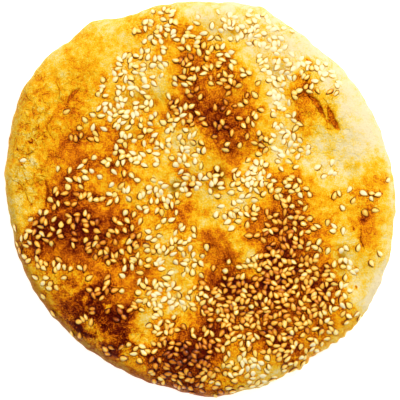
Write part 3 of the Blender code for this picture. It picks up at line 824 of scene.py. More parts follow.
def tears_near(x, y):
    """Depth of the tears, and distance (mm) outside the nearest one's cut.

    Each is a line bent as half a sine wave, with ragged sides. Its groove is a bell, and
    its cut is widest and deepest midway.
    """
    total = np.zeros(np.shape(x))
    outside = np.full(np.shape(x), NOWHERE_NEAR)
    length, size = TEAR_RAGGED
    ragged = size * wander(x, y, length, 301, 2)
    for start_x, start_y, end_x, end_y, bend, width, depth in TEARS:
        off, share, side = line_distance(x, y, start_x, start_y, end_x, end_y)
        beyond = np.sqrt(np.maximum(off ** 2 - side ** 2, 0.0))
        from_line = np.hypot(side - bend * np.sin(math.pi * share) + ragged, beyond)
        midway = np.sin(math.pi * (0.1 + 0.8 * share))
        groove = np.exp(-(from_line / (TEAR_SPREAD * width)) ** 2)
        total = np.maximum(total, depth * midway * groove)
        outside = np.minimum(outside, from_line - 0.5 * width * midway)
    return total, outside


def folds_near(x, y):
    """Signed distance (mm) to the side of the nearest fold line, and its strength.

    A line is ragged and bends as half a sine wave. It is strongest midway, and fades past
    both ends and to either side.
    """
    nearest = np.full(np.shape(x), NOWHERE_NEAR)
    aside = np.full(np.shape(x), NOWHERE_NEAR)
    strength = np.zeros(np.shape(x))
    length, size = FOLD_RAGGED
    ragged = size * wander(x, y, length, 311, 2)
    gone, over = FOLD_ASIDE
    for start_x, start_y, end_x, end_y, bend in FOLDS:
        off, share, side = line_distance(x, y, start_x, start_y, end_x, end_y)
        beyond = np.sqrt(np.maximum(off ** 2 - side ** 2, 0.0))
        side = side - bend * np.sin(math.pi * share) + ragged
        closer = np.hypot(side, beyond) < nearest
        nearest = np.where(closer, np.hypot(side, beyond), nearest)
        aside = np.where(closer, side, aside)
        fading = np.exp(-(beyond / FOLD_FADE) ** 2) * (0.5 + 0.5 * np.sin(math.pi * share))
        fading = fading * np.clip((gone - np.abs(side)) / over, 0.0, 1.0)
        strength = np.where(closer, fading, strength)
    return aside, strength


def flakiness(x, y):
    """Share of flaked skin, 0 to 1: the fullest of the flaky places."""
    return fullest(x, y, FLAKY, PLACE_EDGE)


def fine_relief(x, y):
    """Unevenness finer than the solid's: lumps, crumbs and, in places, lifted flakes.

    All are smooth noise. Where the skin flaked, flakes and curls come on top, and dimples
    are taken off, which meet in sharp ridges where their noise crosses 0.
    """
    lumps, crumbs, flakes, curls, dimples = (
        height * wander(x, y, length, seed, 2)
        for length, height, seed in (LUMPS, CRUMBS, FLAKES, CURLS, DIMPLES))
    return lumps + crumbs + flakiness(x, y) * (flakes - np.abs(dimples) + curls)


def top_height(x, y):
    """Height of the top over the table at any point inside the outline.

    Level to the shoulder, then a fuller quarter oval down to the widest place, with all
    relief fading out on the way down.
    """
    share = np.hypot(x, y) / reach(np.arctan2(y, x))
    inward = np.clip((share - SHOULDER_SHARE) / (1.0 - SHOULDER_SHARE), 0.0, 1.0)
    lift = (1.0 - inward ** SHOULDER_POWER) ** (1.0 / SHOULDER_POWER)
    tear_depth = tears_near(x - SHIFT_X, y - SHIFT_Y)[0]
    rough = relief(x, y) + fine_relief(x, y) - tear_depth
    return WIDEST_HEIGHT + lift * (THICKNESS - WIDEST_HEIGHT + rough)


def browning(x, y):
    """Share of browning at (x, y): patches and islands with wandering edges, then mottling.

    The fine mottling is strongest at a middling brown, as a sine of the share, and weaker
    where the skin flaked.
    """
    wide_x, wide_y = drift(x, y, *WIDE_DRIFT)
    narrow_x, narrow_y = drift(x, y, *NARROW_DRIFT)
    share = np.full(np.shape(x), BROWNED_GROUND)
    share = laid_over(share, x + wide_x + narrow_x, y + wide_y + narrow_y, BROWNED, BROWNED_EDGE)
    small_x, small_y = drift(x, y, *ISLAND_DRIFT)
    share = laid_over(share, x + small_x, y + small_y, ISLANDS, ISLAND_EDGE)
    length, strength = FINE_MOTTLE
    middling = np.sin(np.pi * np.clip(share, 0.0, 1.0) ** 0.7)
    fine = strength + FINE_MOTTLE_BROWNED * middling - FINE_MOTTLE_FLAKED * flakiness(x, y)
    fine = fine * wander(x, y, length, 61, 2)
    length, strength = COARSE_MOTTLE
    share = share + (strength * wander(x, y, length, 51, 3) + fine)
    return np.clip(share, 0.0, 1.0)


def baked_below(x, y):
    """Share of browning of the underside: tan, with darker rings left by blisters.

    The rings are a narrow bell round the places where slow smooth noise crosses 0.
    """
    length, width, ringed = BELOW_RINGS
    ring = np.exp(-(np.abs(wander(x, y, length, 501, 2)) / width) ** 2)
    length, mottled = BELOW_MOTTLE
    return BELOW_TAN + ringed * ring + mottled * wander(x, y, length, 511, 3)


def painted_olive_shade(x, y):
    """Share of the greenish cast painted in as shade, in hollows and gaps, 0 to 1.

    It is the fullest of the olive places, whose edges wander, made uneven by smooth noise.
    """
    moved_x, moved_y = drift(x, y, *OLIVE_DRIFT)
    share = fullest(x + moved_x, y + moved_y, PAINTED_OLIVE_SHADE, OLIVE_EDGE)
    return np.clip(share * (0.75 + 0.5 * wander(x, y, 3.0, 91, 3)), 0.0, 1.0)


# ---- meshes ----------------------------------------------------------------------
def piece_from(name, points, faces, attributes, material):
    """A smooth mesh object at the origin, with named numbers on its points."""
    mesh = bpy.data.meshes.new(name)
    mesh.from_pydata((points * MM).tolist(), [], faces)
    for label, values in attributes.items():
        layer = mesh.attributes.new(label, "FLOAT", "POINT")
        layer.data.foreach_set("value", np.asarray(values, dtype=np.float32))
    mesh.materials.append(material)
    mesh.polygons.foreach_set("use_smooth", np.ones(len(mesh.polygons), dtype=bool))
    mesh.update()
    piece = bpy.data.objects.new(name, mesh)
    bpy.context.scene.collection.objects.link(piece)
    return piece


def ring_faces(rings, around):
    """Quads between rings of points, closed round, and a fan to a point at each end.

    Points are numbered ring by ring, then the two end points.
    """
    ring, step = np.meshgrid(np.arange(rings - 1), np.arange(around), indexing="ij")
    here = ring * around + step
    beside = ring * around + (step + 1) % around
    quads = np.stack((here, beside, beside + around, here + around), axis=-1).reshape(-1, 4)
    step = np.arange(around)
    beside = (step + 1) % around
    first = np.full(around, rings * around)
    last_ring = (rings - 1) * around
    start = np.stack((first, beside, step), axis=-1)
    end = np.stack((first + 1, last_ring + step, last_ring + beside), axis=-1)
    return quads, start, end


def crust_points():
    """The side profile at every angle, the number of its rings, and of those below the top.

    From the middle of the base: flat, a quarter oval out to the widest place, a fuller one
    in to the shoulder, and the top in to its middle. Each share of the profile times the
    reach gives the place, and the edge is moved by the ripple, more the farther out.
    """
    turn = np.linspace(0.0, 0.5 * np.pi, GRID_UNDER + 1)
    base = np.linspace(BASE_MIDDLE, BASE_SHARE, GRID_BASE, endpoint=False)
    under = BASE_SHARE + (1.0 - BASE_SHARE) * np.sin(turn)
    under_height = WIDEST_HEIGHT * (1.0 - np.cos(turn))
    turn = np.linspace(0.0, 0.5 * np.pi, GRID_EDGE + 1)[1:]
    edge = SHOULDER_SHARE + (1.0 - SHOULDER_SHARE) * np.cos(turn) ** (2.0 / SHOULDER_POWER)
    top = np.linspace(SHOULDER_SHARE, TOP_MIDDLE, GRID_TOP + 1)[1:]
    share = np.concatenate((base, under, edge, top))
    height = np.concatenate((np.zeros(GRID_BASE), under_height))

    angle = np.arange(GRID_TURN) * 2.0 * np.pi / GRID_TURN
    share, angle = np.meshgrid(share, angle, indexing="ij")
    x = share * reach(angle) * np.cos(angle)
    y = share * reach(angle) * np.sin(angle)
    z = np.empty_like(x)
    lower = len(height)
    z[:lower] = height[:, None]
    z[lower:] = top_height(x[lower:], y[lower:])
    side = np.clip((share - BASE_SHARE) / (1.0 - BASE_SHARE), 0.0, 1.0) ** 2
    fuller = 1.0 + side * ripple(angle) / reach(angle)
    x, y = x * fuller, y * fuller
    points = np.stack((x.ravel(), y.ravel(), z.ravel()), axis=-1)
    middle_top = float(top_height(np.array(0.001), np.array(0.001)))
    ends = np.array(((0.0, 0.0, 0.0), (0.0, 0.0, middle_top)))
    return np.concatenate((points, ends)), share.shape[0], lower


def seed_cover(x, y, seeds):
    """How thickly seed lies round a point, 0 to about 1.

    Seeds are counted in square cells, the counts are blurred along both ways with a bell,
    and the nearest cell is read.
    """
    half = 90.0     # the cells cover a square that reaches this far each way
    edges = np.arange(-half, half + COVER_CELL, COVER_CELL)
    count = np.histogram2d(seeds[0], seeds[1], bins=(edges, edges))[0]
    bell = np.exp(-0.5 * (np.arange(-6, 7) * COVER_CELL / COVER_BLUR) ** 2)
    for _ in range(2):
        count = np.apply_along_axis(np.convolve, 0, count, bell, "same").T
    column = np.clip(((x + half) / COVER_CELL).astype(int), 0, len(count) - 1)
    row = np.clip(((y + half) / COVER_CELL).astype(int), 0, len(count) - 1)
    return count[column, row] / (COVER_FULL * 2.0 * np.pi * COVER_BLUR ** 2)


def crust_browning(x, y, share, cover):
    """Browning and olive cast of the top and edge, at a share of the reach. The olive cast is
    painted shade.

    Between thick seed the brown is deepened, as painted shade, and the pale made paler. Towards the
    edge the skin stays paler than EDGE_BROWNEST, and each stretch of the rim then takes its own
    shade, darker on the lower left as painted shade of the side turned from the light.
    """
    deepened, paled = SEEDED_CONTRAST
    browned = browning(x, y)
    # Deepening the brown between thick seed is painted shade between the seeds.
    browned = browned + cover * (deepened * browned - paled)
    edge = np.clip((share - EDGE_STARTS) / EDGE_BLEND, 0.0, 1.0)
    browned = browned - edge * np.maximum(browned - EDGE_BROWNEST, 0.0)
    olive = painted_olive_shade(x, y)
    outward = np.clip((share - RIM_STARTS) / EDGE_BLEND, 0.0, 1.0)
    # Each stretch of the rim is drawn to its share of browning; its olive cast and the darkening on
    # the lower left are painted shade of the side turned from the light.
    for direction, half_width, value, cast in RIM_SHADES:
        rim = outward * stretch(np.arctan2(y, x), direction, half_width, 4)
        browned = browned + (value - browned) * rim
        olive = np.maximum(olive, cast * rim)
    return browned, olive


def make_crust(seeds, material):
    """The crust, with its browning and the other numbers that its material reads.

    It is as grainy as the roughest of its flaking, blistering and seed makes it, and a
    little more where brown. The base and the lower half of the edge below take the tan of
    the underside, which fades out upward.
    """
    points, rings, lower = crust_points()
    quads, start, end = ring_faces(rings, GRID_TURN)
    x, y = points[:, 0] - SHIFT_X, points[:, 1] - SHIFT_Y
    share = np.hypot(points[:, 0], points[:, 1]) / reach(np.arctan2(points[:, 1], points[:, 0]))
    tear_depth, outside_tears = tears_near(x, y)
    beside_fold, fold = folds_near(x, y)
    small = fine_relief(points[:, 0], points[:, 1]) - HOLLOW_TEAR * tear_depth
    cover = seed_cover(points[:, 0], points[:, 1], seeds)
    browned, olive = crust_browning(x, y, share, cover)

    below = np.zeros(len(points))
    below[: (lower - GRID_UNDER // 2) * GRID_TURN] = 1.0
    below[-2] = 1.0
    down = np.clip(1.0 - points[:, 2] / SIDE_TAN, 0.0, 1.0) * below
    browned = browned + (baked_below(x, y) - browned) * down

    flaked, bubbled = flakiness(x, y), fullest(x, y, BUBBLED, PLACE_EDGE)
    if_flaked, if_bubbled, if_seeded = ROUGHENED
    rough = np.maximum(if_flaked * flaked, if_bubbled * bubbled)
    rough = np.maximum(rough, np.minimum(if_seeded * cover, 1.0))
    least, if_brown, if_rough = GRAININESS
    # The olive cast and the hollow darkening that the material reads are painted shade.
    attributes = {
        "browning": browned,
        "olive": olive,
        "hollow_shade": np.clip(HOLLOW_FROM - small, 0.0, 2.0),
        "flaked": flaked,
        "bubbled": bubbled,
        "roughened": least + if_brown * np.clip(browned / 0.5, 0.0, 1.0) + if_rough * rough,
        "outside_tears": outside_tears,
        "beside_fold": beside_fold,
        "fold": fold,
    }
    points = np.stack((x, y, points[:, 2]), axis=-1)
    faces = quads.tolist() + start.tolist() + end.tolist()
    return piece_from("crust", points, faces, attributes, material)


def seeds_sown(x, y):
    """Seeds to the square centimetre at (x, y): the fullest handful there, in clumps."""
    amount = np.maximum(fullest(x, y, HANDFULS, HANDFUL_EDGE), SOWN_STRAY)
    length, mean, swing = SOWN_CLUMPS
    return amount * (mean + swing * wander(x, y, length, 221, 2)).clip(*SOWN_LIMITS)


def sow():
    """Seed middles and headings: drawn at random, kept where seed fell and has room.

    The chance of a draw being kept rises as amount / (1 - amount / crowded), which makes
    up for the draws that find no room. Each seed counts as two discs on its long axis,
    and the discs of two seeds may come no closer than SEED_TOUCH of a seed's width.
    """
    draw = np.random.default_rng(77)
    trials = int(SEED_DRAWS * math.pi * (0.1 * REACH) ** 2)
    angle = draw.uniform(0.0, 2.0 * np.pi, trials)
    share = SEED_REACH * np.sqrt(draw.uniform(0.0, 1.0, trials))
    heading = draw.uniform(0.0, 2.0 * np.pi, trials)
    chance = draw.uniform(0.0, 1.0, trials)
    x, y = share * reach(angle) * np.cos(angle), share * reach(angle) * np.sin(angle)
    amount = np.minimum(seeds_sown(x - SHIFT_X, y - SHIFT_Y), SEED_FULLEST * SEED_CROWDED)
    wanted = chance < amount / (1.0 - amount / SEED_CROWDED) / SEED_DRAWS
    x, y, heading = x[wanted], y[wanted], heading[wanted]
    step = 0.5 * (SEED_LENGTH - SEED_WIDTH)
    discs = np.stack(
        (
            np.stack((x + step * np.cos(heading), y + step * np.sin(heading)), axis=-1),
            np.stack((x - step * np.cos(heading), y - step * np.sin(heading)), axis=-1),
        ),
        axis=1,
    )
    closest = SEED_TOUCH * SEED_WIDTH
    kept = []
    for number in range(len(x)):
        near = [k for k in kept if abs(x[k] - x[number]) < SEED_LENGTH]
        if near:
            gaps = discs[near][:, :, None, :] - discs[number][None, None, :, :]
            if (np.hypot(gaps[..., 0], gaps[..., 1]) < closest).any():
                continue
        kept.append(number)
    return x[kept], y[kept], heading[kept]


def seed_shape():
    """One seed in its collar: the section carried along x and scaled by a drop's width.

    Half-width = half of SEED_WIDTH times sin(pi * t ** 1.34) to the power 0.78 - 0.24 * t,
    for t from the pointed end to the blunt one. The collar's points lie COLLAR farther
    out. Also gives how much of each point is collar, painted dark as the shade where the
    seed meets the crust, and how much is the pale crown, painted light on its top.
    """
    along = (np.arange(SEED_RINGS) + 0.55) / (SEED_RINGS + 0.1)
    half = 0.5 * np.sin(np.pi * along ** 1.34) ** (0.78 - 0.24 * along)
    across, up, collar, crown = (np.array(column) for column in zip(*SEED_SECTION))
    outer = np.where(collar == 1.0, COLLAR * np.sign(across), 0.0)
    x = np.repeat((along - 0.5) * SEED_LENGTH, len(across))
    y = (half[:, None] * across * SEED_WIDTH + outer).ravel()
    z = (half[:, None] * up * SEED_THICKNESS).ravel()
    end = 0.5 * SEED_LENGTH + 0.5 * COLLAR
    points = np.concatenate((np.stack((x, y, z), axis=-1), ((-end, 0.0, -0.2), (end, 0.0, -0.2))))
    # How much of each point is the dark collar, painted shade where the seed meets the crust; the
    # ends are partly collar.
    outline_shade = np.repeat(collar[None, :], SEED_RINGS, axis=0)
    outline_shade[0] = 0.35 + 0.65 * outline_shade[0]
    outline_shade[-1] = 0.2 + 0.8 * outline_shade[-1]
    # The crown is painted pale, as light on the seed's top, most at the middle of its length.
    pale = np.sin(np.pi * along)[:, None] * crown
    return points, np.append(outline_shade, (1.0, 1.0)), np.append(pale, (0.0, 0.0))


def seed_frames(x, y, heading, lean):
    """Forward, sideways and upward unit arrows of every seed, and its place on the crust.

    Upward stands square to the crust's slope with the lean added, and forward is the
    heading laid flat against it.
    """
    near, steepest = SEED_SLOPE
    slope_x = (top_height(x + near, y) - top_height(x - near, y)) / (2.0 * near) + lean[:, 0]
    slope_y = (top_height(x, y + near) - top_height(x, y - near)) / (2.0 * near) + lean[:, 1]
    slope_x, slope_y = slope_x.clip(-steepest, steepest), slope_y.clip(-steepest, steepest)
    upward = np.stack((-slope_x, -slope_y, np.ones(len(x))), axis=-1)
    upward /= np.linalg.norm(upward, axis=-1, keepdims=True)
    forward = np.stack((np.cos(heading), np.sin(heading), np.zeros(len(x))), axis=-1)
    forward -= upward * np.sum(forward * upward, axis=-1, keepdims=True)
    forward /= np.linalg.norm(forward, axis=-1, keepdims=True)
    place = np.stack((x, y, top_height(x, y)), axis=-1)
    return forward, np.cross(upward, forward), upward, place


def toasting(x, y, bake, spread):
    """Share of toasting of the seeds at (x, y), where the crust is browned by bake.

    It rises with the browning, faster where scorched, falls faster where pale, and the
    toasted places add to it. The spread from seed to seed grows with the browning.
    """
    part, start = TOAST_BROWNED
    more, scorched = TOAST_SCORCHED
    less, pale = TOAST_PALE
    toast = part * (bake - start) + more * np.maximum(bake - scorched, 0.0)
    toast = toast - less * np.maximum(pale - bake, 0.0)
    toast = toast + fullest(x, y, TOASTED, PLACE_EDGE)
    return (toast + spread * (TOAST_SPREAD_PALE + bake)).clip(*TOAST_LIMITS)


def make_seeds(seeds, material):
    """All seeds as one mesh: each shape is resized, turned to its heading and laid down."""
    x, y, heading = seeds
    count = len(x)
    draw = np.random.default_rng(78)
    shape, outline_shade, pale = seed_shape()
    spread, least, greatest = SEED_SPREAD
    size = draw.normal(1.0, spread, (count, 3)).clip(least, greatest)
    lean = np.radians(draw.normal(0.0, SEED_LEAN, (count, 2)))
    rise = SEED_RISE + draw.normal(0.0, SEED_RISE_SPREAD, count)
    bake = browning(x - SHIFT_X, y - SHIFT_Y)
    deeper, start, over = PALE_SINK
    rise = rise - deeper * np.clip((start - bake) / over, 0.0, 1.0)

    forward, sideways, upward, place = seed_frames(x, y, heading, lean)
    place = place + upward * rise[:, None]
    local = shape[None, :, :] * size[:, None, :]
    points = place[:, None, :] + (
        local[..., 0:1] * forward[:, None, :]
        + local[..., 1:2] * sideways[:, None, :]
        + local[..., 2:3] * upward[:, None, :]
    )
    points = points - np.array((SHIFT_X, SHIFT_Y, 0.0))

    quads, start, end = ring_faces(SEED_RINGS, len(SEED_SECTION))
    offset = np.arange(count)[:, None, None] * len(shape)
    faces = []
    for kind in (quads[:, ::-1], start[:, ::-1], end[:, ::-1]):
        faces += (kind[None, :, :] + offset).reshape(-1, kind.shape[1]).tolist()

    spread = draw.normal(0.0, TOAST_SPREAD, count)
    toast = toasting(x - SHIFT_X, y - SHIFT_Y, bake, spread)
    # The seed's collar numbers carry painted shade round it, and its crown numbers painted light on
    # its top.
    attributes = {
        "toast": np.repeat(toast, len(shape)),
        "outline_shade": np.tile(outline_shade, count),
        "crown": np.outer(draw.uniform(0.4, 1.3, count), pale).ravel(),
    }
    return piece_from("sesame", points.reshape(-1, 3), faces, attributes, material)


# ---- materials -------------------------------------------------------------------
def colour(code):
    """sRGB hex to linear, with full opacity."""
    parts = [int(code[at:at + 2], 16) / 255.0 for at in (0, 2, 4)]
    linear = [part / 12.92 if part <= 0.04045 else ((part + 0.055) / 1.055) ** 2.4 for part in parts]
    return (*linear, 1.0)


def node(tree, kind, inputs=None, **settings):
    """Adds a shader node: an input is linked to an output or given a value."""
    added = tree.nodes.new(kind)
    for label, value in settings.items():
        setattr(added, label, value)
    for socket, value in (inputs or {}).items():
        if isinstance(value, bpy.types.NodeSocket):
            tree.links.new(value, added.inputs[socket])
        else:
            added.inputs[socket].default_value = value
    return added


def fill_ramp(ramp, stops):
    """Sets a colour ramp's stops: position and sRGB hex."""
    points = ramp.color_ramp.elements
    while len(points) < len(stops):
        points.new(0.5)
    for point, (position, code) in zip(points, stops):
        point.position = position
        point.color = colour(code)


# Colour of the crust by its share of browning, of a seed by its share of toasting, and of
# the collar round a seed by the same; the collar's dark colours are painted shade.
CRUST_COLOURS = (
    (0.00, "FAE9C0"),
    (0.14, "FCE38C"),
    (0.26, "FFD43A"),
    (0.38, "FFC412"),
    (0.50, "FA9E08"),
    (0.65, "DC6E0A"),
    (0.80, "9C3E02"),
    (0.92, "721A00"),
    (1.00, "4E0800"),
)
SESAME_COLOURS = (
    (0.00, "FFF4CC"),
    (0.12, "FFE990"),
    (0.24, "FFDC6C"),
    (0.40, "F9B030"),
    (0.56, "DA7A10"),
    (0.76, "943C02"),
    (1.00, "481600"),
)
OUTLINE_SHADE_COLOURS = (
    (0.00, "E4BE44"),
    (0.07, "D89018"),
    (0.13, "B86808"),
    (0.19, "8E4002"),
    (0.30, "541600"),
    (0.50, "320800"),
    (1.00, "220400"),
)
# Share of darkening from the middle of a burst bubble outward.
BUBBLE_RING = (
    (0.00, "E0E0E0"),
    (0.16, "D0D0D0"),
    (0.27, "000000"),
    (0.36, "000000"),
    (0.46, "A0A0A0"),
    (0.62, "404040"),
)


def new_material(name):
    """An empty node material, with its tree and its shader."""
    material = bpy.data.materials.new(name)
    material.use_nodes = True
    tree = material.node_tree
    return material, tree, tree.nodes["Principled BSDF"]


def baked_wheat_crust():
    """Oven-baked wheat skin, brushed with a little oil and browned by dry heat.

    Sugars browned in patches give the eye its yellows, ambers and browns. Mottling of
    2.6 mm, grain of 0.9 mm and dust of 0.4 mm move the browning up and down, more so where
    the skin is rough. Blistered skin has paler islands of about 4.5 mm. Hollows are painted
    darker, as shade, and tears, folds and the swirling edges of thin flakes are darker too.
    Burst bubbles 2.6 mm apart leave dark rings, and the olive cast is painted shade in
    hollows and gaps. A weak, uneven sheen is the oil.
    """
    material, tree, shader = new_material("baked_wheat_crust")
    place = node(tree, "ShaderNodeTexCoord").outputs["Object"]
    browned, olive, hollow_shade, flaked, bubbled, roughened, outside_tears, beside_fold, fold = (
        node(tree, "ShaderNodeAttribute", attribute_name=label).outputs["Fac"]
        for label in ("browning", "olive", "hollow_shade", "flaked", "bubbled", "roughened",
                      "outside_tears", "beside_fold", "fold"))
    swell, mottle, grain, dust = (
        node(tree, "ShaderNodeTexNoise",
             {"Vector": place, "Scale": 1.0 / (size * MM), "Detail": 3.0, "Roughness": 0.6})
        for size in (4.5, 2.6, 0.9, 0.4))

    # Edges of flakes lie where a noise of 5 mm, swirled by the swell, crosses its middle.
    spread = (9.0 * MM, 9.0 * MM, 0.0)
    bent = node(tree, "ShaderNodeVectorMath", {0: swell.outputs["Color"], 1: spread, 2: place},
                operation="MULTIPLY_ADD").outputs[0]
    swirl = node(tree, "ShaderNodeTexNoise",
                 {"Vector": bent, "Scale": 1.0 / (5.0 * MM), "Detail": 1.0,
                  "Distortion": 0.6}).outputs["Fac"]
    off_swirl, off_fold = (
        node(tree, "ShaderNodeMath", {0: node(tree, "ShaderNodeMath", {0: value, 1: middle},
                                              operation="SUBTRACT").outputs[0]},
             operation="ABSOLUTE").outputs[0]
        for value, middle in ((swirl, 0.5), (beside_fold, 0.0)))
    cells = node(tree, "ShaderNodeTexVoronoi", {"Vector": place, "Scale": 1.0 / (2.6 * MM)})
    ring = node(tree, "ShaderNodeValToRGB", {"Fac": cells.outputs["Distance"]})
    fill_ramp(ring, BUBBLE_RING)
    swell, mottle, grain, dust = (added.outputs["Fac"] for added in (swell, mottle, grain, dust))
    near_tear = node(tree, "ShaderNodeMath", {0: grain, 1: 0.9, 2: outside_tears},
                     operation="MULTIPLY_ADD").outputs[0]

    # Each of these is 0 where the value is at its first number and 1 at its second.
    blotch, fleck, speck, island, flake_line, tear, burst, fold_line = (
        node(tree, "ShaderNodeMapRange", {"Value": value, "From Min": none, "From Max": full},
             interpolation_type="SMOOTHSTEP").outputs["Result"]
        for value, none, full in (
            (mottle, 0.45, 0.54),
            (grain, 0.43, 0.57),
            (dust, 0.42, 0.58),
            (swell, 0.50, 0.545),
            (off_swirl, 0.022, 0.006),
            (near_tear, 0.65, 0.25),
            (cells.outputs["Color"], 0.45, 0.50),
            (off_fold, 0.38, 0.10),
        ))
    blotch, fleck, speck, island, flake_line, burst, fold_line = (
        node(tree, "ShaderNodeMath", {0: first, 1: second}, operation="MULTIPLY").outputs[0]
        for first, second in ((blotch, roughened), (fleck, roughened), (speck, roughened),
                              (island, bubbled), (flake_line, flaked), (burst, bubbled),
                              (fold_line, fold)))
    ring = node(tree, "ShaderNodeMath", {0: ring.outputs["Color"], 1: burst},
                operation="MULTIPLY").outputs[0]

    # What each adds to the share of browning, then to the height of the bump.
    total, height = browned, mottle
    # The hollow term darkens the crust in its hollows, as painted shade.
    for value, amount in ((mottle, 0.20), (blotch, 0.12), (fleck, 0.15), (dust, 0.16),
                          (speck, 0.26), (hollow_shade, 0.17), (island, -0.12), (flake_line, 0.22),
                          (fold_line, 0.15), (tear, 0.22), (ring, 0.30), (1.0, -0.448)):
        total = node(tree, "ShaderNodeMath", {0: value, 1: amount, 2: total},
                     operation="MULTIPLY_ADD").outputs[0]
    for value, amount in ((grain, 0.7), (dust, 0.3), (blotch, -0.14), (island, 0.5),
                          (flake_line, -0.4), (fold_line, -0.6), (tear, -0.4), (ring, -0.6)):
        height = node(tree, "ShaderNodeMath", {0: value, 1: amount, 2: height},
                      operation="MULTIPLY_ADD").outputs[0]

    ramp = node(tree, "ShaderNodeValToRGB", {"Fac": total})
    fill_ramp(ramp, CRUST_COLOURS)
    # The olive multiply darkens the crust, as painted shade.
    tinted = node(tree, "ShaderNodeMix",
                  {0: olive, 6: ramp.outputs["Color"], 7: colour("907E10")},
                  data_type="RGBA", blend_type="MULTIPLY")
    tree.links.new(tinted.outputs[2], shader.inputs["Base Color"])
    rough = node(tree, "ShaderNodeMapRange", {"Value": mottle, "From Min": 0.3, "From Max": 0.7,
                                              "To Min": 0.30, "To Max": 0.55})
    tree.links.new(rough.outputs["Result"], shader.inputs["Roughness"])
    shader.inputs["IOR"].default_value = 1.45
    shader.inputs["Specular IOR Level"].default_value = 0.045
    bump = node(tree, "ShaderNodeBump", {"Height": height, "Strength": 1.0, "Distance": 0.9 * MM})
    tree.links.new(bump.outputs["Normal"], shader.inputs["Normal"])
    return material


def toasted_sesame():
    """Hulled sesame seed, toasted on the crust: ivory when raw, amber to brown when toasted.

    Streaks of 0.9 mm move the toasting up and down. The crown is painted paler and the flanks
    darker, painted light and shade that make a seed look round. Its waxy hull has a soft
    highlight. The thin collar that grips it is painted darker, as the shade where the seed
    meets the crust.
    """
    material, tree, shader = new_material("toasted_sesame")
    place = node(tree, "ShaderNodeTexCoord").outputs["Object"]
    toast, outline_shade, crown = (
        node(tree, "ShaderNodeAttribute", attribute_name=label).outputs["Fac"]
        for label in ("toast", "outline_shade", "crown"))
    streak = node(tree, "ShaderNodeTexNoise",
                  {"Vector": place, "Scale": 1.0 / (0.9 * MM), "Detail": 2.0}).outputs["Fac"]
    varied = toast
    for value, amount in ((streak, 0.26), (crown, -0.40), (1.0, 0.02)):
        varied = node(tree, "ShaderNodeMath", {0: value, 1: amount, 2: varied},
                      operation="MULTIPLY_ADD").outputs[0]
    # The flanks are made darker toward the collar and the crown paler above: painted shade and
    # painted light.
    flank = node(tree, "ShaderNodeMath", {0: outline_shade, 1: 0.5, 2: varied},
                 operation="MULTIPLY_ADD").outputs[0]
    hull = node(tree, "ShaderNodeValToRGB", {"Fac": flank})
    fill_ramp(hull, SESAME_COLOURS)
    # The collar takes the dark outline colours, painted shade round the seed.
    rim = node(tree, "ShaderNodeValToRGB", {"Fac": varied})
    fill_ramp(rim, OUTLINE_SHADE_COLOURS)
    edge = node(tree, "ShaderNodeMapRange", {"Value": outline_shade, "From Min": 0.3, "From Max": 0.65},
                interpolation_type="SMOOTHSTEP")
    both = node(tree, "ShaderNodeMix", {0: edge.outputs["Result"], 6: hull.outputs["Color"],
                                        7: rim.outputs["Color"]}, data_type="RGBA")
    tree.links.new(both.outputs[2], shader.inputs["Base Color"])
    rough = node(tree, "ShaderNodeMapRange", {"Value": streak, "To Min": 0.26, "To Max": 0.5})
    tree.links.new(rough.outputs["Result"], shader.inputs["Roughness"])
    shader.inputs["IOR"].default_value = 1.47
    shader.inputs["Specular IOR Level"].default_value = 0.35
    bump = node(tree, "ShaderNodeBump", {"Height": streak, "Strength": 0.2, "Distance": 0.12 * MM})
    tree.links.new(bump.outputs["Normal"], shader.inputs["Normal"])
    return material


def white_board():
    """Matt white board under the bread, which glows a little so that it stays evenly white."""
    material, tree, shader = new_material("white_board")
    shader.inputs["Base Color"].default_value = colour("F4F4F4")
    shader.inputs["Roughness"].default_value = 0.9
    shader.inputs["Specular IOR Level"].default_value = 0.1
    shader.inputs["Emission Color"].default_value = colour("FFFFFF")
    shader.inputs["Emission Strength"].default_value = 0.86
    return material


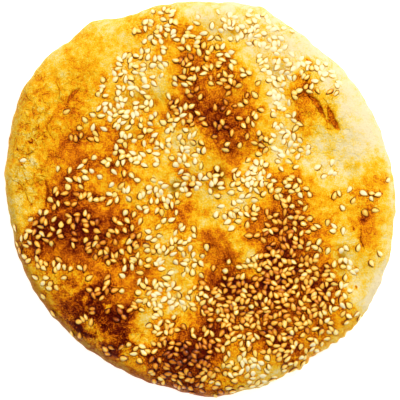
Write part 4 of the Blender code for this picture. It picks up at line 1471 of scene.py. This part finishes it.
# ---- room, light and camera ------------------------------------------------------
def make_floor():
    """A plain pale floor, 4 m square, at the height of the base."""
    half = 2000.0
    corners = half * np.array(((-1, -1, 0), (1, -1, 0), (1, 1, 0), (-1, 1, 0)))
    floor = piece_from("floor", corners, [[0, 1, 2, 3]], {}, white_board())


def add_light(name, azimuth, elevation, distance, size, power, tint):
    """A round soft light that faces the bread: direction in degrees, distance and size in
    metres, power in watts."""
    data = bpy.data.lights.new(name, "AREA")
    data.shape = "DISK"
    data.size = size
    data.energy = power
    data.color = colour(tint)[:3]
    light = bpy.data.objects.new(name, data)
    flat = distance * math.cos(math.radians(elevation))
    light.location = (
        flat * math.cos(math.radians(azimuth)),
        flat * math.sin(math.radians(azimuth)),
        distance * math.sin(math.radians(elevation)),
    )
    light.rotation_euler = (
        math.radians(90.0 - elevation),
        0.0,
        math.radians(azimuth + 90.0),
    )
    bpy.context.scene.collection.objects.link(light)


def make_world():
    """Even, warm and dim light from all round."""
    world = bpy.data.worlds.new("studio")
    world.use_nodes = True
    background = world.node_tree.nodes["Background"]
    background.inputs["Color"].default_value = colour("FFEEC8")
    background.inputs["Strength"].default_value = 0.19
    bpy.context.scene.world = world


def make_camera():
    """Straight down on the bread, its frame 168 mm wide at the widest section."""
    height, frame_width, aside, down = 0.7, 0.168, -0.13 * MM, -0.34 * MM
    data = bpy.data.cameras.new("camera")
    data.sensor_width = 36.0
    data.lens = data.sensor_width * height / frame_width
    data.clip_start = 0.01
    camera = bpy.data.objects.new("camera", data)
    camera.location = (aside, down, height + WIDEST_HEIGHT * MM)
    bpy.context.scene.collection.objects.link(camera)
    bpy.context.scene.camera = camera


make_camera()
make_world()
# A small high light from the upper right draws the relief, a broad low one from the left
# softens its shade.
add_light("window", 54.0, 64.0, 1.4, 0.15, 18.1, "FBFAF2")
add_light("wall", 178.0, 35.0, 1.6, 0.9, 4.2, "FFFAF0")
make_floor()

seeds = sow()
crust = make_crust(seeds, baked_wheat_crust())
sesame = make_seeds(seeds, toasted_sesame())
for piece in (crust, sesame):
    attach(piece, "root")
    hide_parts("shaobing")

bpy.context.scene.view_settings.view_transform = "Standard"
bpy.context.scene.view_settings.look = "None"
